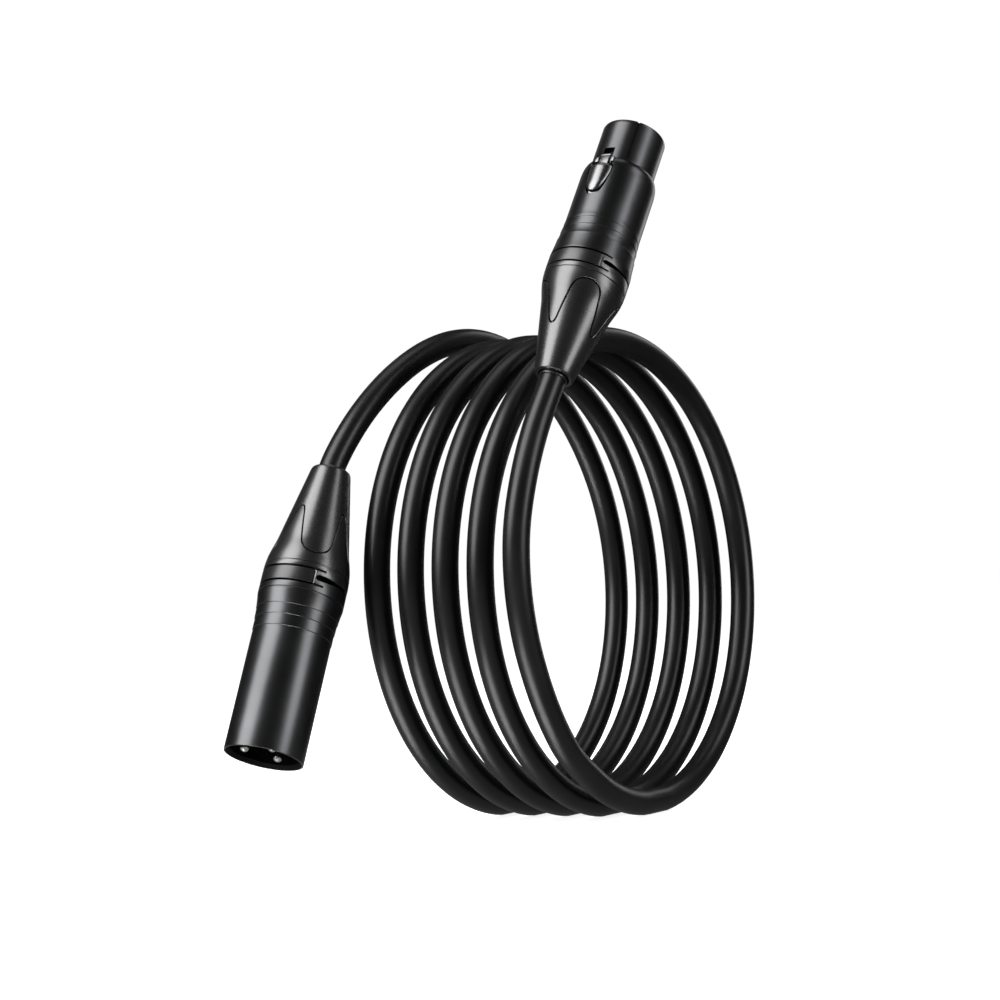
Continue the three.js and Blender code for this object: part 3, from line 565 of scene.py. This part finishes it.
def bootProfile(body):
    def at(angle):
        slant = edgeSlant(body, angle)
        edge = fingerEdge(body, angle) - slant * body["groove"][0] / 2
        lip = slant * rear["lip"]
        first = body["start"] + body["lipRound"]
        count = rear["rows"][0]
        outer = [(rearRadius(body, lerp(first, edge - lip, k / count)),
                  lerp(first, edge - lip, k / count), 0.0) for k in range(1, count + 1)]
        outline = [
            (rear["bell"], body["start"], 0.12),
            (rearRadius(body, body["start"]), body["start"], body["lipRound"]),
            *outer,
            (rearRadius(body, edge) - rear["lip"], edge, 0.08),
            (rearRadius(body, edge) - body["groove"][1], edge, 0.0),
            (rear["bell"] - 0.3, edge, 0.0),
            (rear["bell"] - 0.3, rear["bellDepth"], 0.2),
            (rear["bell"], rear["bellDepth"] - 0.3, 0.2),
        ]
        return rounded(outline, 4)

    return at


# A place round the collar, counted in degrees past the ring's open end.
def pastEnd(body, angle):
    return (angle * body["way"]) % 360.0 - rear["gap"][0]


def landed(past):
    return 0 <= past <= rear["gap"][1] - rear["gap"][0]


# Half width of the slot at the parting: open where the ring is open.
def slotHalf(body, past):
    table = body["slot"]
    if not landed(past):
        return rear["hiddenSlot"]
    if past <= table[0][0]:
        return 0.0
    for (x0, y0), (x1, y1) in zip(table, table[1:]):
        if past <= x1:
            return lerp(y0, y1, (past - x0) / (x1 - x0))
    return table[-1][1]


# Half width of the two tracks in which the seat's edges run out, with round ends.
def trackHalf(body, past):
    half = body["ringLine"] / 2
    reach = math.degrees(half / body["collar"])
    over = (past - (rear["track"] - reach)) / reach
    return half * math.sqrt(max(0.0, 1 - max(0.0, over) ** 2))


# The ring's seat from the parting outwards, in one half of the collar: side +1 is the shell.
def seatOutline(body, angle, side):
    past = pastEnd(body, angle)
    collar, edge = body["collar"], rear["seatHalf"]
    slot = slotHalf(body, past)
    middle = edge - body["ringLine"] / 2
    if landed(past):
        bevel, reach = body["landingBevel"]
        top = collar - bevel * max(0.0, 1 - past / reach)
        half = trackHalf(body, past)
        floor = top - rear["trackDepth"] if half > 0 else top
        corner = min(0.06, slot / 2)
    else:
        top = floor = collar - rear["seatDepth"]
        half, corner = body["ringLine"] / 2, 0.0
    inner, outer = middle - half, middle + half
    outline = [
        (body["bore"], slot, 0.0),
        (top, slot, corner),
        (top, inner, 0.04 if floor < top else 0.0),
        (floor, inner, 0.0),
        (floor, outer, 0.0),
        (top if half < body["ringLine"] / 2 - 1e-6 else lerp(floor, collar, 0.5), outer, 0.0),
        (collar, edge, 0.09),
    ]
    return [(r, body["parting"] + side * z, c) for r, z, c in outline]


# Angles that the ring's end, the slot and the round ends of the tracks need.
def featureAngles(body):
    gap, track = rear["gap"], rear["gap"][0] + rear["track"]
    edges = [gap[0] - 0.02, gap[0] + 0.02, gap[1] - 0.02, gap[1] + 0.02]
    edges += [gap[0] + body["landingBevel"][1], *(gap[0] + at for at, _ in body["slot"])]
    edges += [track - 1.3 + 0.14 * k for k in range(11)]
    return [body["way"] * e for e in edges]


# A fine line turned into the surface.
def lineGroove(radius, station, width):
    floor = radius - rear["lineDepth"]
    return [
        (radius, station - width * 0.6, 0.04),
        (floor, station - width * 0.2, 0.0),
        (floor, station + width * 0.2, 0.0),
        (radius, station + width * 0.6, 0.08),
    ]


def bushingProfile(body):
    def at(angle):
        slant = edgeSlant(body, angle)
        edge = fingerEdge(body, angle) + slant * body["groove"][0] / 2
        lip = slant * rear["lip"]
        fine, width = body["bushingLine"]
        groove = body["parting"] - fine
        count = rear["rows"][1]
        ends = (edge + lip, groove - 0.4)
        outer = [(rearRadius(body, lerp(*ends, k / count)), lerp(*ends, k / count), 0.0)
                 for k in range(count + 1)]
        seat = list(reversed(seatOutline(body, angle, -1)))
        wall, back = rear["spigot"]
        outline = [
            (rearRadius(body, edge) - rear["lip"], edge, 0.08),
            *outer,
            *lineGroove(rearRadius(body, groove), groove, width),
            *seat,
            (body["bore"] - wall, seat[-1][1], 0.0),
            (body["bore"] - wall, body["parting"] - back, 0.0),
            (rearRadius(body, edge) - body["groove"][1], edge, 0.0),
        ]
        return rounded(outline, 2)

    return at


# The open band in the seat: its ends fall away a little.
def ringProfile(body):
    half = rear["seatHalf"] - body["ringLine"]
    inner = body["collar"] - rear["ringThickness"]

    def at(angle):
        past = pastEnd(body, angle)
        toEnd = min(abs(past), abs(past - 360.0))
        gap, fall = body["ringEnd"]
        top = body["collar"] - fall * max(0.0, 1 - max(0.0, toEnd - gap) / 0.9)
        outline = [
            (inner, body["parting"] - half, 0.05),
            (top, body["parting"] - half, 0.13),
            (top, body["parting"] + half, 0.13),
            (inner, body["parting"] + half, 0.05),
        ]
        return rounded(outline, 4)

    return at


def glandProfile(body):
    bore, radius, end = rear["gland"]
    end += body["start"] - 1.0
    outline = [
        (bore, end, 0.0),
        (radius, end, 0.22),
        (radius, rear["bellDepth"] - 0.4, 0.0),
        (bore, rear["bellDepth"] - 0.4, 0.0),
    ]
    return lambda angle: rounded(outline, 5)


def makeRear(prefix, body, matrix, finishes):
    angles = evenAngles(rear["angles"], featureAngles(body))
    start, end = rear["gap"][1] + 1.0, 360.0 + rear["gap"][0] - body["ringEnd"][0]
    count = rear["bandAngles"]
    arc = sorted({lerp(start, end, i / count) for i in range(count + 1)}
                 | {end - 0.3 * k for k in range(1, 4)})
    shapes = {
        "boot": ("boot_skin", bootProfile(body), evenAngles(rear["angles"]), True),
        "bushing": ("bushing_skin", bushingProfile(body), angles, True),
        "ring": ("ring_band", ringProfile(body), [body["way"] * a for a in arc], False),
    }
    pieces = []
    for key, (name, profile, around, closed) in shapes.items():
        piece = turned(prefix + "_" + name, profile, around, matrix, finishes[key], closed)
        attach(piece, "cable")
        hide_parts(prefix + "_" + key)
        pieces.append(piece)
    gland = turned(prefix + "_gland", glandProfile(body), evenAngles(96), matrix,
                   finishes["boot"])
    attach(gland, "cable")
    return [*pieces, gland]


# The shell's outside behind its plain body: collar, blend and three steps down.
shellSteps = {"over": 0.46, "lip": 0.1, "tail": 1.4}


def steppedOutline(body):
    parting, collar = body["parting"], body["collar"]
    stepRadius = body["body"] + shellSteps["over"]
    outline = []
    if body["shellLine"]:
        fine, width = body["shellLine"]
        outline += lineGroove(collar, parting + fine, width)
    for share in (0.0, 0.25, 0.5, 0.75, 1.0):
        radius = lerp(collar, stepRadius, share * (1.3 - 0.3 * share))
        at = parting + lerp(body["collarLength"], body["stepFrom"], share)
        outline.append((radius, at, 0.3))
    for distance, over, end in body["steps"]:
        at = parting + distance
        outline.append((stepRadius, at, 0.03))
        outline.append((body["body"] + over, at + shellSteps["lip"], 0.05))
        stepRadius = body["body"] + end
    outline.append((stepRadius, at + shellSteps["tail"], 0.3))
    return outline


# Male connector: the shell with its pin socket
socket = {
    "radius": 8.2,
    "depth": 16.2,
    "rim": 0.15,
    "edge": 0.4,  # thickness of the wall at the mouth, where the bore flares
    "flare": 1.8,
    "stopRing": 7.6,
    "stopWidth": 1.0,
    "catch": {"at": 162, "half": 10.8, "from": 3.3, "to": 1.0, "depth": 0.6},
    "rib": {"at": 125, "half": 2.5, "depth": 0.4},
    "carrierBack": 50.0,
    "carrier": (8.15, 7.3, 1.3),  # radius behind and in front of a step, and the step's depth
    "collars": (1.9, 0.35),  # raised ring round each pin: radius, height
}
pin = {
    "circle": 4.95,
    "radius": 1.2,
    "setback": 0.7,
    "cup": (1.7, 1.15, 3.2),
    "cupAt": 45.25,
    "turns": (222, 342, 102),
}


def near(angle, part):
    return abs((angle - part["at"] + 180) % 360 - 180) < part["half"]


def maleShellProfile(angle):
    length, r = male["length"], socket["radius"]
    catch, rib = socket["catch"], socket["rib"]
    wall = r + (catch["depth"] if near(angle, catch) else 0.0)
    ribbed = r - (rib["depth"] if near(angle, rib) else 0.0)
    floor = length - socket["depth"]
    outline = [
        *seatOutline(male, angle, 1),
        *steppedOutline(male),
        (male["body"], length, socket["rim"]),
        (male["body"] - socket["edge"], length, 0.12),
        (r, length - socket["flare"], 0.3),
        (r, length - catch["to"], 0.0),
        (wall, length - catch["to"], 0.0),
        (wall, length - catch["from"], 0.0),
        (ribbed, length - catch["from"], 0.0),
        (ribbed, floor + 0.3, 0.0),
        (r, floor, 0.1),
        (socket["stopRing"], floor, 0.05),
        (socket["stopRing"], floor - socket["stopWidth"], 0.0),
        (male["bore"], floor - socket["stopWidth"], 0.0),
    ]
    return rounded(outline, 3)


def circleSpot(radius, angle):
    turn = math.radians(angle)
    return Vector((radius * math.cos(turn), radius * math.sin(turn), 0))


def pinProfile(angle):
    tip = male["length"] - pin["setback"]
    wide, bore, depth = pin["cup"]
    carrier = socket["carrierBack"] - 0.3
    dome = [(pin["radius"] * math.cos(t), tip - pin["radius"] * (1 - math.sin(t)))
            for t in (math.pi / 2 * k / 8 for k in range(9))]
    return [
        (0, pin["cupAt"] + depth), (bore, pin["cupAt"] + depth), (bore, pin["cupAt"]),
        (wide, pin["cupAt"]), (wide, carrier), (pin["radius"], carrier), *dome,
    ]


# Painted shade: the inside of a shell, past a radius, gets a near-black, barely reflective finish
# instead of the shell's own metal, so the recess stays dark.
def paintShadeInside(shell, matrix, radius, material):
    shell.data.materials.append(material)
    back = matrix.inverted()
    for face in shell.data.polygons:
        x, y, _ = back @ face.center
        if math.hypot(x, y) < radius - 0.02:
            face.material_index = 1


def makeMale(finishes):
    matrix = connectorMatrix(malePlace)
    pieces = makeRear("male", male, matrix, finishes)
    edges = [part["at"] + side * (part["half"] + d) for part in (socket["catch"], socket["rib"])
             for side in (-1, 1) for d in (-0.05, 0.05)]
    angles = evenAngles(rear["angles"], featureAngles(male) + edges)
    shell = turned("male_shell_skin", maleShellProfile, angles, matrix, finishes["shell"])
    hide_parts("male_shell")
    # painted shade: the socket's inner faces take the near-black socket finish
    paintShadeInside(shell, matrix, male["body"] - socket["edge"], finishes["socket"])
    floor = male["length"] - socket["depth"]
    back = socket["carrierBack"]
    broad, narrow, step = socket["carrier"]
    outline = [
        (0, back, 0), (broad, back, 0.2), (broad, floor - step, 0), (narrow, floor - step, 0),
        (narrow, floor, 0.15), (0, floor, 0),
    ]
    built = bmesh.new()
    skin(built, turnedRings(lambda a: rounded(outline, 3), evenAngles(96), matrix), True)
    radius, height = socket["collars"]
    ring = [(0, floor - 0.5, 0), (radius, floor - 0.5, 0), (radius, floor + height, 0.15),
            (pin["radius"], floor + height, 0.05), (0, floor + 0.1, 0)]
    for turn in pin["turns"]:
        spot = matrix @ Matrix.Translation(circleSpot(pin["circle"], turn))
        skin(built, turnedRings(lambda a: rounded(ring, 3), evenAngles(40), spot), True)
    carrier = finishMesh("male_carrier", built, finishes["carrier"])
    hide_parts("male_insert")
    pins = []
    for i, turn in enumerate(pin["turns"]):
        spot = matrix @ Matrix.Translation(circleSpot(pin["circle"], turn))
        made = turned("male_contact_" + str(i + 1), pinProfile, evenAngles(48), spot,
                      finishes["silver"])
        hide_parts("male_pin_" + str(i + 1))
        pins.append(made)
    for piece in (shell, carrier, *pins):
        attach(piece, "cable")
    return [*pieces, shell, carrier, *pins]


# Female connector: shoulder, nose, latch pocket and contact holes
nose = {
    "radius": 8.02,
    "bore": 7.1,
    "length": 11.4,
    "rim": 0.3,
    "shoulder": 4.6,
    "curve": [(0, 0), (0.4, 0.09), (0.62, 0.25), (0.78, 0.5), (0.86, 0.75), (0.9, 1.0)],
    "key": {"at": -1.0, "half": 2.1, "depth": 0.34},
    "carrierStep": 14.7,
    "carrierBack": 47.75,
    "carrierFace": 0.8,
    "carrier": (8.0, 0.25),  # broad radius, and the air round the carrier in the nose
    "plainFrom": 14.0,  # past the parting, where the steps have ended
    "rowSpacing": 0.8,
    "holes": (22, 142, 262),
    "hole": (1.45, 2.0, 0.8, 16.0),  # radius at the face, radius and depth behind it, depth
}
latch = {
    "at": -38,
    "front": 14.6,
    "length": 8.2,
    "crown": 10.3,
    "dome": 4.3,
    "underside": 8.345,
    "side": [(0, 0), (0.012, 0.62), (0.035, 1.08), (0.07, 1.46), (0.12, 1.78), (0.25, 2.2),
             (0.5, 2.7), (0.75, 3.0), (0.9, 3.06), (0.97, 2.98), (1.0, 2.7)],
    "tipSink": (0.42, 0.3),  # how far the crown falls at the tip, and over which share
    "frontSink": (0.5, 0.86),  # how far it falls at the front, and from which share
    "edge": (0.34, 9),  # how far its sides turn down, and how late
    "across": 24,
    "clear": 0.22,
    "relief": 0.7,
    "bevel": 0.2,
    "floor": 6.3,
    "neck": 1.25,
    "neckTop": 8.75,
    "neckRoot": 7.3,
    "lugs": (11.9, 1.5, 1.72, 2.7),  # back from the rim, length, and from where to where across
    "hook": (11.1, 0.5, 1.4),  # back from the rim, length, half width
    "window": 8.7,
    "pivot": (22.4, 7.6, 1.15, 1.5),  # back from the rim, height, radius of the eye, half width
}


def femaleShellProfile(angle):
    length = female["length"]
    root = length - nose["length"]
    keyed = nose["radius"] - (nose["key"]["depth"] if near(angle, nose["key"]) else 0.0)
    shoulder = []
    count = 12
    for k in range(1, count + 1):
        share = nose["curve"][-1][0] * k / count
        fall = curveAt(nose["curve"], share, (0.0, None))
        shoulder.append((lerp(female["body"], nose["radius"], fall),
                         root - nose["shoulder"] * (1 - share), 0.05))
    plain = female["parting"] + nose["plainFrom"]
    straight = root - nose["shoulder"] - plain
    rows = round(straight / nose["rowSpacing"])
    body = [(female["body"], plain + straight * k / rows, 0.0) for k in range(rows + 1)]
    front = [(keyed, lerp(root + 0.35, length - 1.0, k / 8), 0.0) for k in range(9)]
    outline = [
        *seatOutline(female, angle, 1),
        *steppedOutline(female),
        *body,
        *shoulder,
        (nose["radius"], root + 0.3, 0.0),
        *front,
        (keyed, length, nose["rim"]),
        (nose["bore"], length, 0.18),
        (nose["bore"], length - nose["carrierStep"], 0.0),
        (female["bore"], length - nose["carrierStep"], 0.0),
    ]
    return rounded(outline, 2)


# Latch shapes: x outwards, y across and z along, then turned to their place.
def latchOutline(margin, back):
    front = female["length"] - latch["front"] + margin
    tip = female["length"] - latch["front"] - latch["length"] - margin - back
    shares = [0, 0.012, 0.035, 0.07, 0.12, 0.18, 0.25, 0.37, 0.5, 0.62, 0.75, 0.9, 0.97, 1.0]
    right = [(curveAt(latch["side"], s) + margin * min(1, s * 20), lerp(tip, front, s))
             for s in shares]
    return right + [(-y, z) for y, z in reversed(right) if y > 0]


def pocketCutter(matrix):
    built = bmesh.new()
    surface = female["body"]

    def ring(margin, lift, fixed=None):
        points = []
        for y, z in latchOutline(margin, latch["relief"] - latch["clear"]):
            x = math.sqrt(surface ** 2 - y ** 2) + lift if fixed is None else fixed
            points.append(matrix @ Vector((x, y, z)))
        return points

    clear, bevel = latch["clear"], latch["bevel"]
    skin(built, [
        ring(clear, 0, latch["floor"]),
        ring(clear, -bevel),
        ring(clear + bevel, 0),
        ring(clear + bevel, 0, surface + 1),
    ])
    return finishMesh("pocket", built, None)


def blockInto(built, matrix, x, y, z, corner=0.0):
    size = Vector((x[1] - x[0], y[1] - y[0], z[1] - z[0]))
    middle = Vector(((x[0] + x[1]) / 2, (y[0] + y[1]) / 2, (z[0] + z[1]) / 2))
    place = matrix @ Matrix.Translation(middle) @ Matrix.Diagonal((*size, 1.0))
    made = bmesh.ops.create_cube(built, size=1.0, matrix=place)
    if corner:
        edges = {e for v in made["verts"] for e in v.link_edges}
        bmesh.ops.bevel(built, geom=list(edges), offset=corner * mm, segments=3,
                        affect="EDGES", profile=0.5)


def carve(piece, cutters):
    for cutter in cutters:
        cut = piece.modifiers.new("carve", "BOOLEAN")
        cut.operation, cut.solver, cut.object = "DIFFERENCE", "EXACT", cutter
    bpy.context.view_layer.update()
    graph = bpy.context.evaluated_depsgraph_get()
    mesh = bpy.data.meshes.new_from_object(piece.evaluated_get(graph))
    piece.modifiers.clear()
    piece.data = mesh
    smoothMesh(mesh)
    for cutter in cutters:
        bpy.data.objects.remove(cutter)


def blockCutter(matrix, x, y, z):
    built = bmesh.new()
    blockInto(built, matrix, x, y, z)
    return finishMesh("cutter", built, None)


def holeCutter(matrix):
    front = female["length"] - nose["carrierFace"]
    radius, wide, entry, depth = nose["hole"]
    outline = [(0, front - depth), (wide, front - depth), (wide, front - entry),
               (radius, front - entry), (radius, front - 0.3), (radius + 0.3, front),
               (radius + 1.0, front + 0.7), (0, front + 0.7)]
    built = bmesh.new()
    skin(built, turnedRings(lambda a: outline, evenAngles(40), matrix), True)
    return finishMesh("cutter", built, None)


def makeLatch(matrix, finishes):
    built = bmesh.new()
    front = female["length"] - latch["front"]
    tip = front - latch["length"]
    shares = [0.0, 0.004, 0.012, 0.022, 0.035, 0.052, 0.07, 0.095, 0.12, 0.15, 0.18]
    shares += [0.18 + 0.82 * k / 26 for k in range(1, 25)] + [0.975, 0.99, 1.0]
    tipFall, tipShare = latch["tipSink"]
    frontFall, frontShare = latch["frontSink"]
    turnDown, power = latch["edge"]
    count = latch["across"]
    rings = []
    for share in shares:
        wide = max(1e-4, curveAt(latch["side"], share))
        sink = tipFall * max(0.0, 1 - share / tipShare) ** 2
        sink += frontFall * max(0.0, (share - frontShare) / (1 - frontShare)) ** 2
        ring = []
        for k in range(count + 1):
            v = math.sin((-1 + 2 * k / count) * math.pi / 2)
            y = wide * v
            drop = latch["dome"] - math.sqrt(latch["dome"] ** 2 - y * y)
            x = latch["crown"] - sink - drop - turnDown * abs(v) ** power
            ring.append((max(x, latch["underside"] + 0.05), y))
        for k in range(count + 1):
            ring.append((latch["underside"], wide * 0.97 * (1 - 2 * k / count)))
        rings.append([matrix @ Vector((x, y, lerp(tip, front, share))) for x, y in ring])
    skin(built, rings)
    lugBack, lugLength, lugFrom, lugTo = latch["lugs"]
    lugStart = female["length"] - lugBack - lugLength
    hookBack, hookLength, hookHalf = latch["hook"]
    hookEnd = female["length"] - hookBack
    neck, top, root = latch["neck"], latch["neckTop"], latch["neckRoot"]
    lugAlong = (lugStart, lugStart + lugLength)
    back, high, eye, half = latch["pivot"]
    station = female["length"] - back
    # Neck, bar under the lugs, two lugs, web under the neck, hook and web over the pivot: each
    # with where it reaches outwards, across and along, and its round edge.
    blocks = [
        ((root, top), (-neck, neck), (front - 0.9, hookEnd - 0.62), 0.12),
        ((root - 0.1, top - 0.7), (-lugTo, lugTo), lugAlong, 0.1),
        ((root, top - 0.06), (-lugTo, -lugFrom), lugAlong, 0.14),
        ((root, top - 0.06), (lugFrom, lugTo), lugAlong, 0.14),
        ((root - 0.1, top - 0.35), (-neck, neck), (front - 2.0, hookEnd - 0.1), 0.08),
        ((root, top - 0.05), (-hookHalf, hookHalf), (hookEnd - hookLength, hookEnd), 0.12),
        ((high, latch["underside"] + 0.3), (-half * 0.9, half * 0.9),
         (station - 0.7 * eye, station + 0.7 * eye), 0.1),
    ]
    for out, across, along, corner in blocks:
        blockInto(built, matrix, out, across, along, corner)
    barrel = matrix @ Matrix.Translation((high, 0, station)) @ Matrix.Rotation(math.pi / 2, 4, "X")
    loop = [(0.7, -half, 0), (eye, -half, 0.15), (eye, half, 0.15), (0.7, half, 0)]
    skin(built, turnedRings(lambda a: rounded(loop, 3), evenAngles(36), barrel), True)
    piece = finishMesh("latch_lever", built, finishes["latch"], 38.0)
    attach(piece, "latch_tab")
    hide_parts("latch")


def makeFemale(finishes):
    matrix = connectorMatrix(femalePlace)
    makeRear("female", female, matrix, finishes)
    key = nose["key"]
    edges = [key["at"] + side * (key["half"] + d) for side in (-1, 1) for d in (-0.1, 0.1)]
    angles = evenAngles(rear["angles"], featureAngles(female) + edges)
    shell = turned("female_shell_skin", femaleShellProfile, angles, matrix, finishes["shell"])
    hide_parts("female_shell")
    toLatch = matrix @ Matrix.Rotation(math.radians(latch["at"]), 4, "Z")
    length, clear = female["length"], latch["clear"]
    lugBack, _, _, lugTo = latch["lugs"]
    behind = length - latch["front"] - clear
    outward = (latch["floor"], female["body"] + 1)
    carve(shell, [
        pocketCutter(toLatch),
        blockCutter(toLatch, outward, (-lugTo - clear, lugTo + clear),
                    (behind - 0.5, length - lugBack + clear)),
        blockCutter(toLatch, outward, (-latch["neck"] - clear, latch["neck"] + clear),
                    (behind - 0.4, length - latch["window"])),
    ])
    print("latch pocket cut")
    back, step = nose["carrierBack"], length - nose["carrierStep"] - clear
    face = length - nose["carrierFace"]
    broad, air = nose["carrier"]
    narrow = nose["bore"] - air
    outline = [
        (0, back, 0), (broad, back, 0.2), (broad, step, 0.1), (narrow, step, 0),
        (narrow, face, 0.25), (0, face, 0),
    ]
    carrier = turned("female_carrier", lambda a: rounded(outline, 4), evenAngles(120), matrix,
                     finishes["carrier"])
    spots = [matrix @ Matrix.Translation(circleSpot(pin["circle"], a)) for a in nose["holes"]]
    carve(carrier, [
        *(holeCutter(spot) for spot in spots),
        blockCutter(toLatch, (latch["floor"], 9.0), (-3.3, 3.3),
                    (back - 1.0, length - latch["window"])),
    ])
    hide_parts("female_insert")
    for piece in (shell, carrier):
        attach(piece, "cable")
    makeLatch(toLatch, finishes)


# Studio: a pale floor and sky, soft boxes round the part, and one under the floor that shines
# through it like a light table's.
studio = {
    "floorSize": 30.0,
    "floorBelow": 0.0002,  # how far it lies under the part, in metres
    "pale": 0.93,
    "bounce": 0.06,  # the floor's shade for light that the camera doesn't see
    "nearGlow": 0.86,  # its own light round the part, which rises to 1 between these radii
    "nearRadius": (0.25, 0.9),
    "lit": (-0.92, 0.39, 0.0),  # the side on which glossy pieces see the floor bright
    "litSpan": (-0.15, 0.15),
    "litLevels": (0.03, 0.28),
    "litReach": (0.12, 0.6),
    "litFar": 0.3,
    "mirrorSky": 0.03,  # the sky in glossy pieces
    "fill": 0.012,
    "aim": (-15, 15, 40),  # where the lamps point, from the coil's middle, in millimetres
    # Each lamp's turn from the camera's side and rise in degrees, and its distance in metres.
    "lamps": [
        {"name": "left box", "turn": -58, "rise": 39, "far": 1.1, "size": (0.8, 1.25),
         "watts": 17.5},
        {"name": "left low box", "turn": -58, "rise": 8, "far": 0.8, "size": (0.4, 0.25),
         "watts": 0.6},
        {"name": "table box", "turn": -50, "rise": -56, "far": 0.8, "size": (0.5, 0.6),
         "watts": 5.2},
        {"name": "right box", "turn": 62, "rise": 10, "far": 1.2, "size": (0.5, 0.85),
         "watts": 5.8},
        {"name": "right high box", "turn": 80, "rise": 40, "far": 1.2, "size": (0.4, 0.4),
         "watts": 1.5},
        {"name": "top box", "turn": 180, "rise": 78, "far": 1.2, "size": (0.7, 0.5),
         "watts": 1.2},
        {"name": "right rim", "turn": 148, "rise": 18, "far": 1.3, "size": (0.35, 1.0),
         "watts": 1.8},
        {"name": "left rim", "turn": -155, "rise": 16, "far": 1.3, "size": (0.25, 1.0),
         "watts": 0.2},
    ],
}


def makeFloor():
    paint = Paint(bpy.data.materials.new("studio floor"))
    fromCamera, viaPart = paint.rays()
    point = paint.node("ShaderNodeTexCoord", out="Object")
    reach = paint.node("ShaderNodeVectorMath", {"operation": "LENGTH"}, {0: point}, out="Value")
    toLit = paint.node("ShaderNodeVectorMath", {"operation": "DOT_PRODUCT"},
                       {0: point, 1: studio["lit"]}, out="Value")
    spread = paint.fade(reach, studio["nearRadius"], (studio["nearGlow"], 1.0))
    mirrored = paint.fade(toLit, studio["litSpan"], studio["litLevels"])
    mirrored = mirrored * paint.fade(reach, studio["litReach"], (1.0, studio["litFar"]))
    mirrored = viaPart * mirrored
    pale, bounce = studio["pale"], studio["bounce"]
    colour = paint.blend(fromCamera, rgb(bounce, bounce, bounce), rgb(pale, pale, pale))
    plain = paint.node("ShaderNodeBsdfDiffuse", {}, {"Color": colour})
    shade = paint.blend(fromCamera * spread + mirrored, rgb(0, 0, 0), rgb(1, 1, 1))
    glow = paint.node("ShaderNodeEmission", {}, {"Color": shade, "Strength": 1.0})
    paint.surface(paint.node("ShaderNodeAddShader", {}, {0: plain, 1: glow}))
    built = bmesh.new()
    bmesh.ops.create_grid(built, x_segments=1, y_segments=1, size=studio["floorSize"] / 2)
    floor = finishMesh("floor", built, paint.owner)
    floor.location.z = -studio["floorBelow"]
    floor.visible_shadow = False  # a light table: the box under it shines through


def makeWorld():
    world = bpy.data.worlds.new("studio sky")
    bpy.context.scene.world = world
    paint = Paint(world)
    fromCamera, viaPart = paint.rays()
    strength = fromCamera + viaPart * studio["mirrorSky"] + studio["fill"]
    sky = paint.node("ShaderNodeBackground", {}, {"Color": rgb(1, 1, 1), "Strength": strength})
    paint.surface(sky, "ShaderNodeOutputWorld")


def addLamp(name, place, way, size, watts):
    data = bpy.data.lights.new(name, "AREA")
    data.shape = "RECTANGLE"
    data.size, data.size_y = size
    data.energy = watts
    data.cycles.use_multiple_importance_sampling = place.z > 0  # off for the one below
    box = bpy.data.objects.new(name, data)
    box.location = place
    box.rotation_euler = way.to_track_quat("Z", "Y").to_euler()
    box.visible_camera = False
    bpy.context.scene.collection.objects.link(box)


def makeLamps():
    target = (stand["middle"] + Vector(studio["aim"])) * mm
    toward = Vector((view["from"].x, view["from"].y, 0)).normalized()
    for lamp in studio["lamps"]:
        turn = Matrix.Rotation(math.radians(lamp["turn"]), 3, "Z")
        rise = math.radians(lamp["rise"])
        way = turn @ toward * math.cos(rise) + Vector((0, 0, math.sin(rise)))
        addLamp(lamp["name"], target + way * lamp["far"], way, lamp["size"], lamp["watts"])


bpy.context.scene.view_settings.view_transform = "Standard"
makeCamera()
print("camera set")
finishes = {name: makeFinish(name, look) for name, look in finishLooks.items()}
cable, cableLine, cableLength = makeCord(finishes)
print("cord made")
maleEnd = makeMale(finishes)
print("male connector made")
makeFemale(finishes)
print("female connector made")
slots = {s["node"]: s["material_slot"] for s in frame["record"]["subparts"]}
for name, piece in nodes.items():
    piece.data.materials.clear()
    piece.data.materials.append(finishes[slots[name]])
makeFloor()
makeWorld()
makeLamps()
print("studio made")
cableLine[5] * mm
cableLength * mm
[p * mm for p in cableLine]
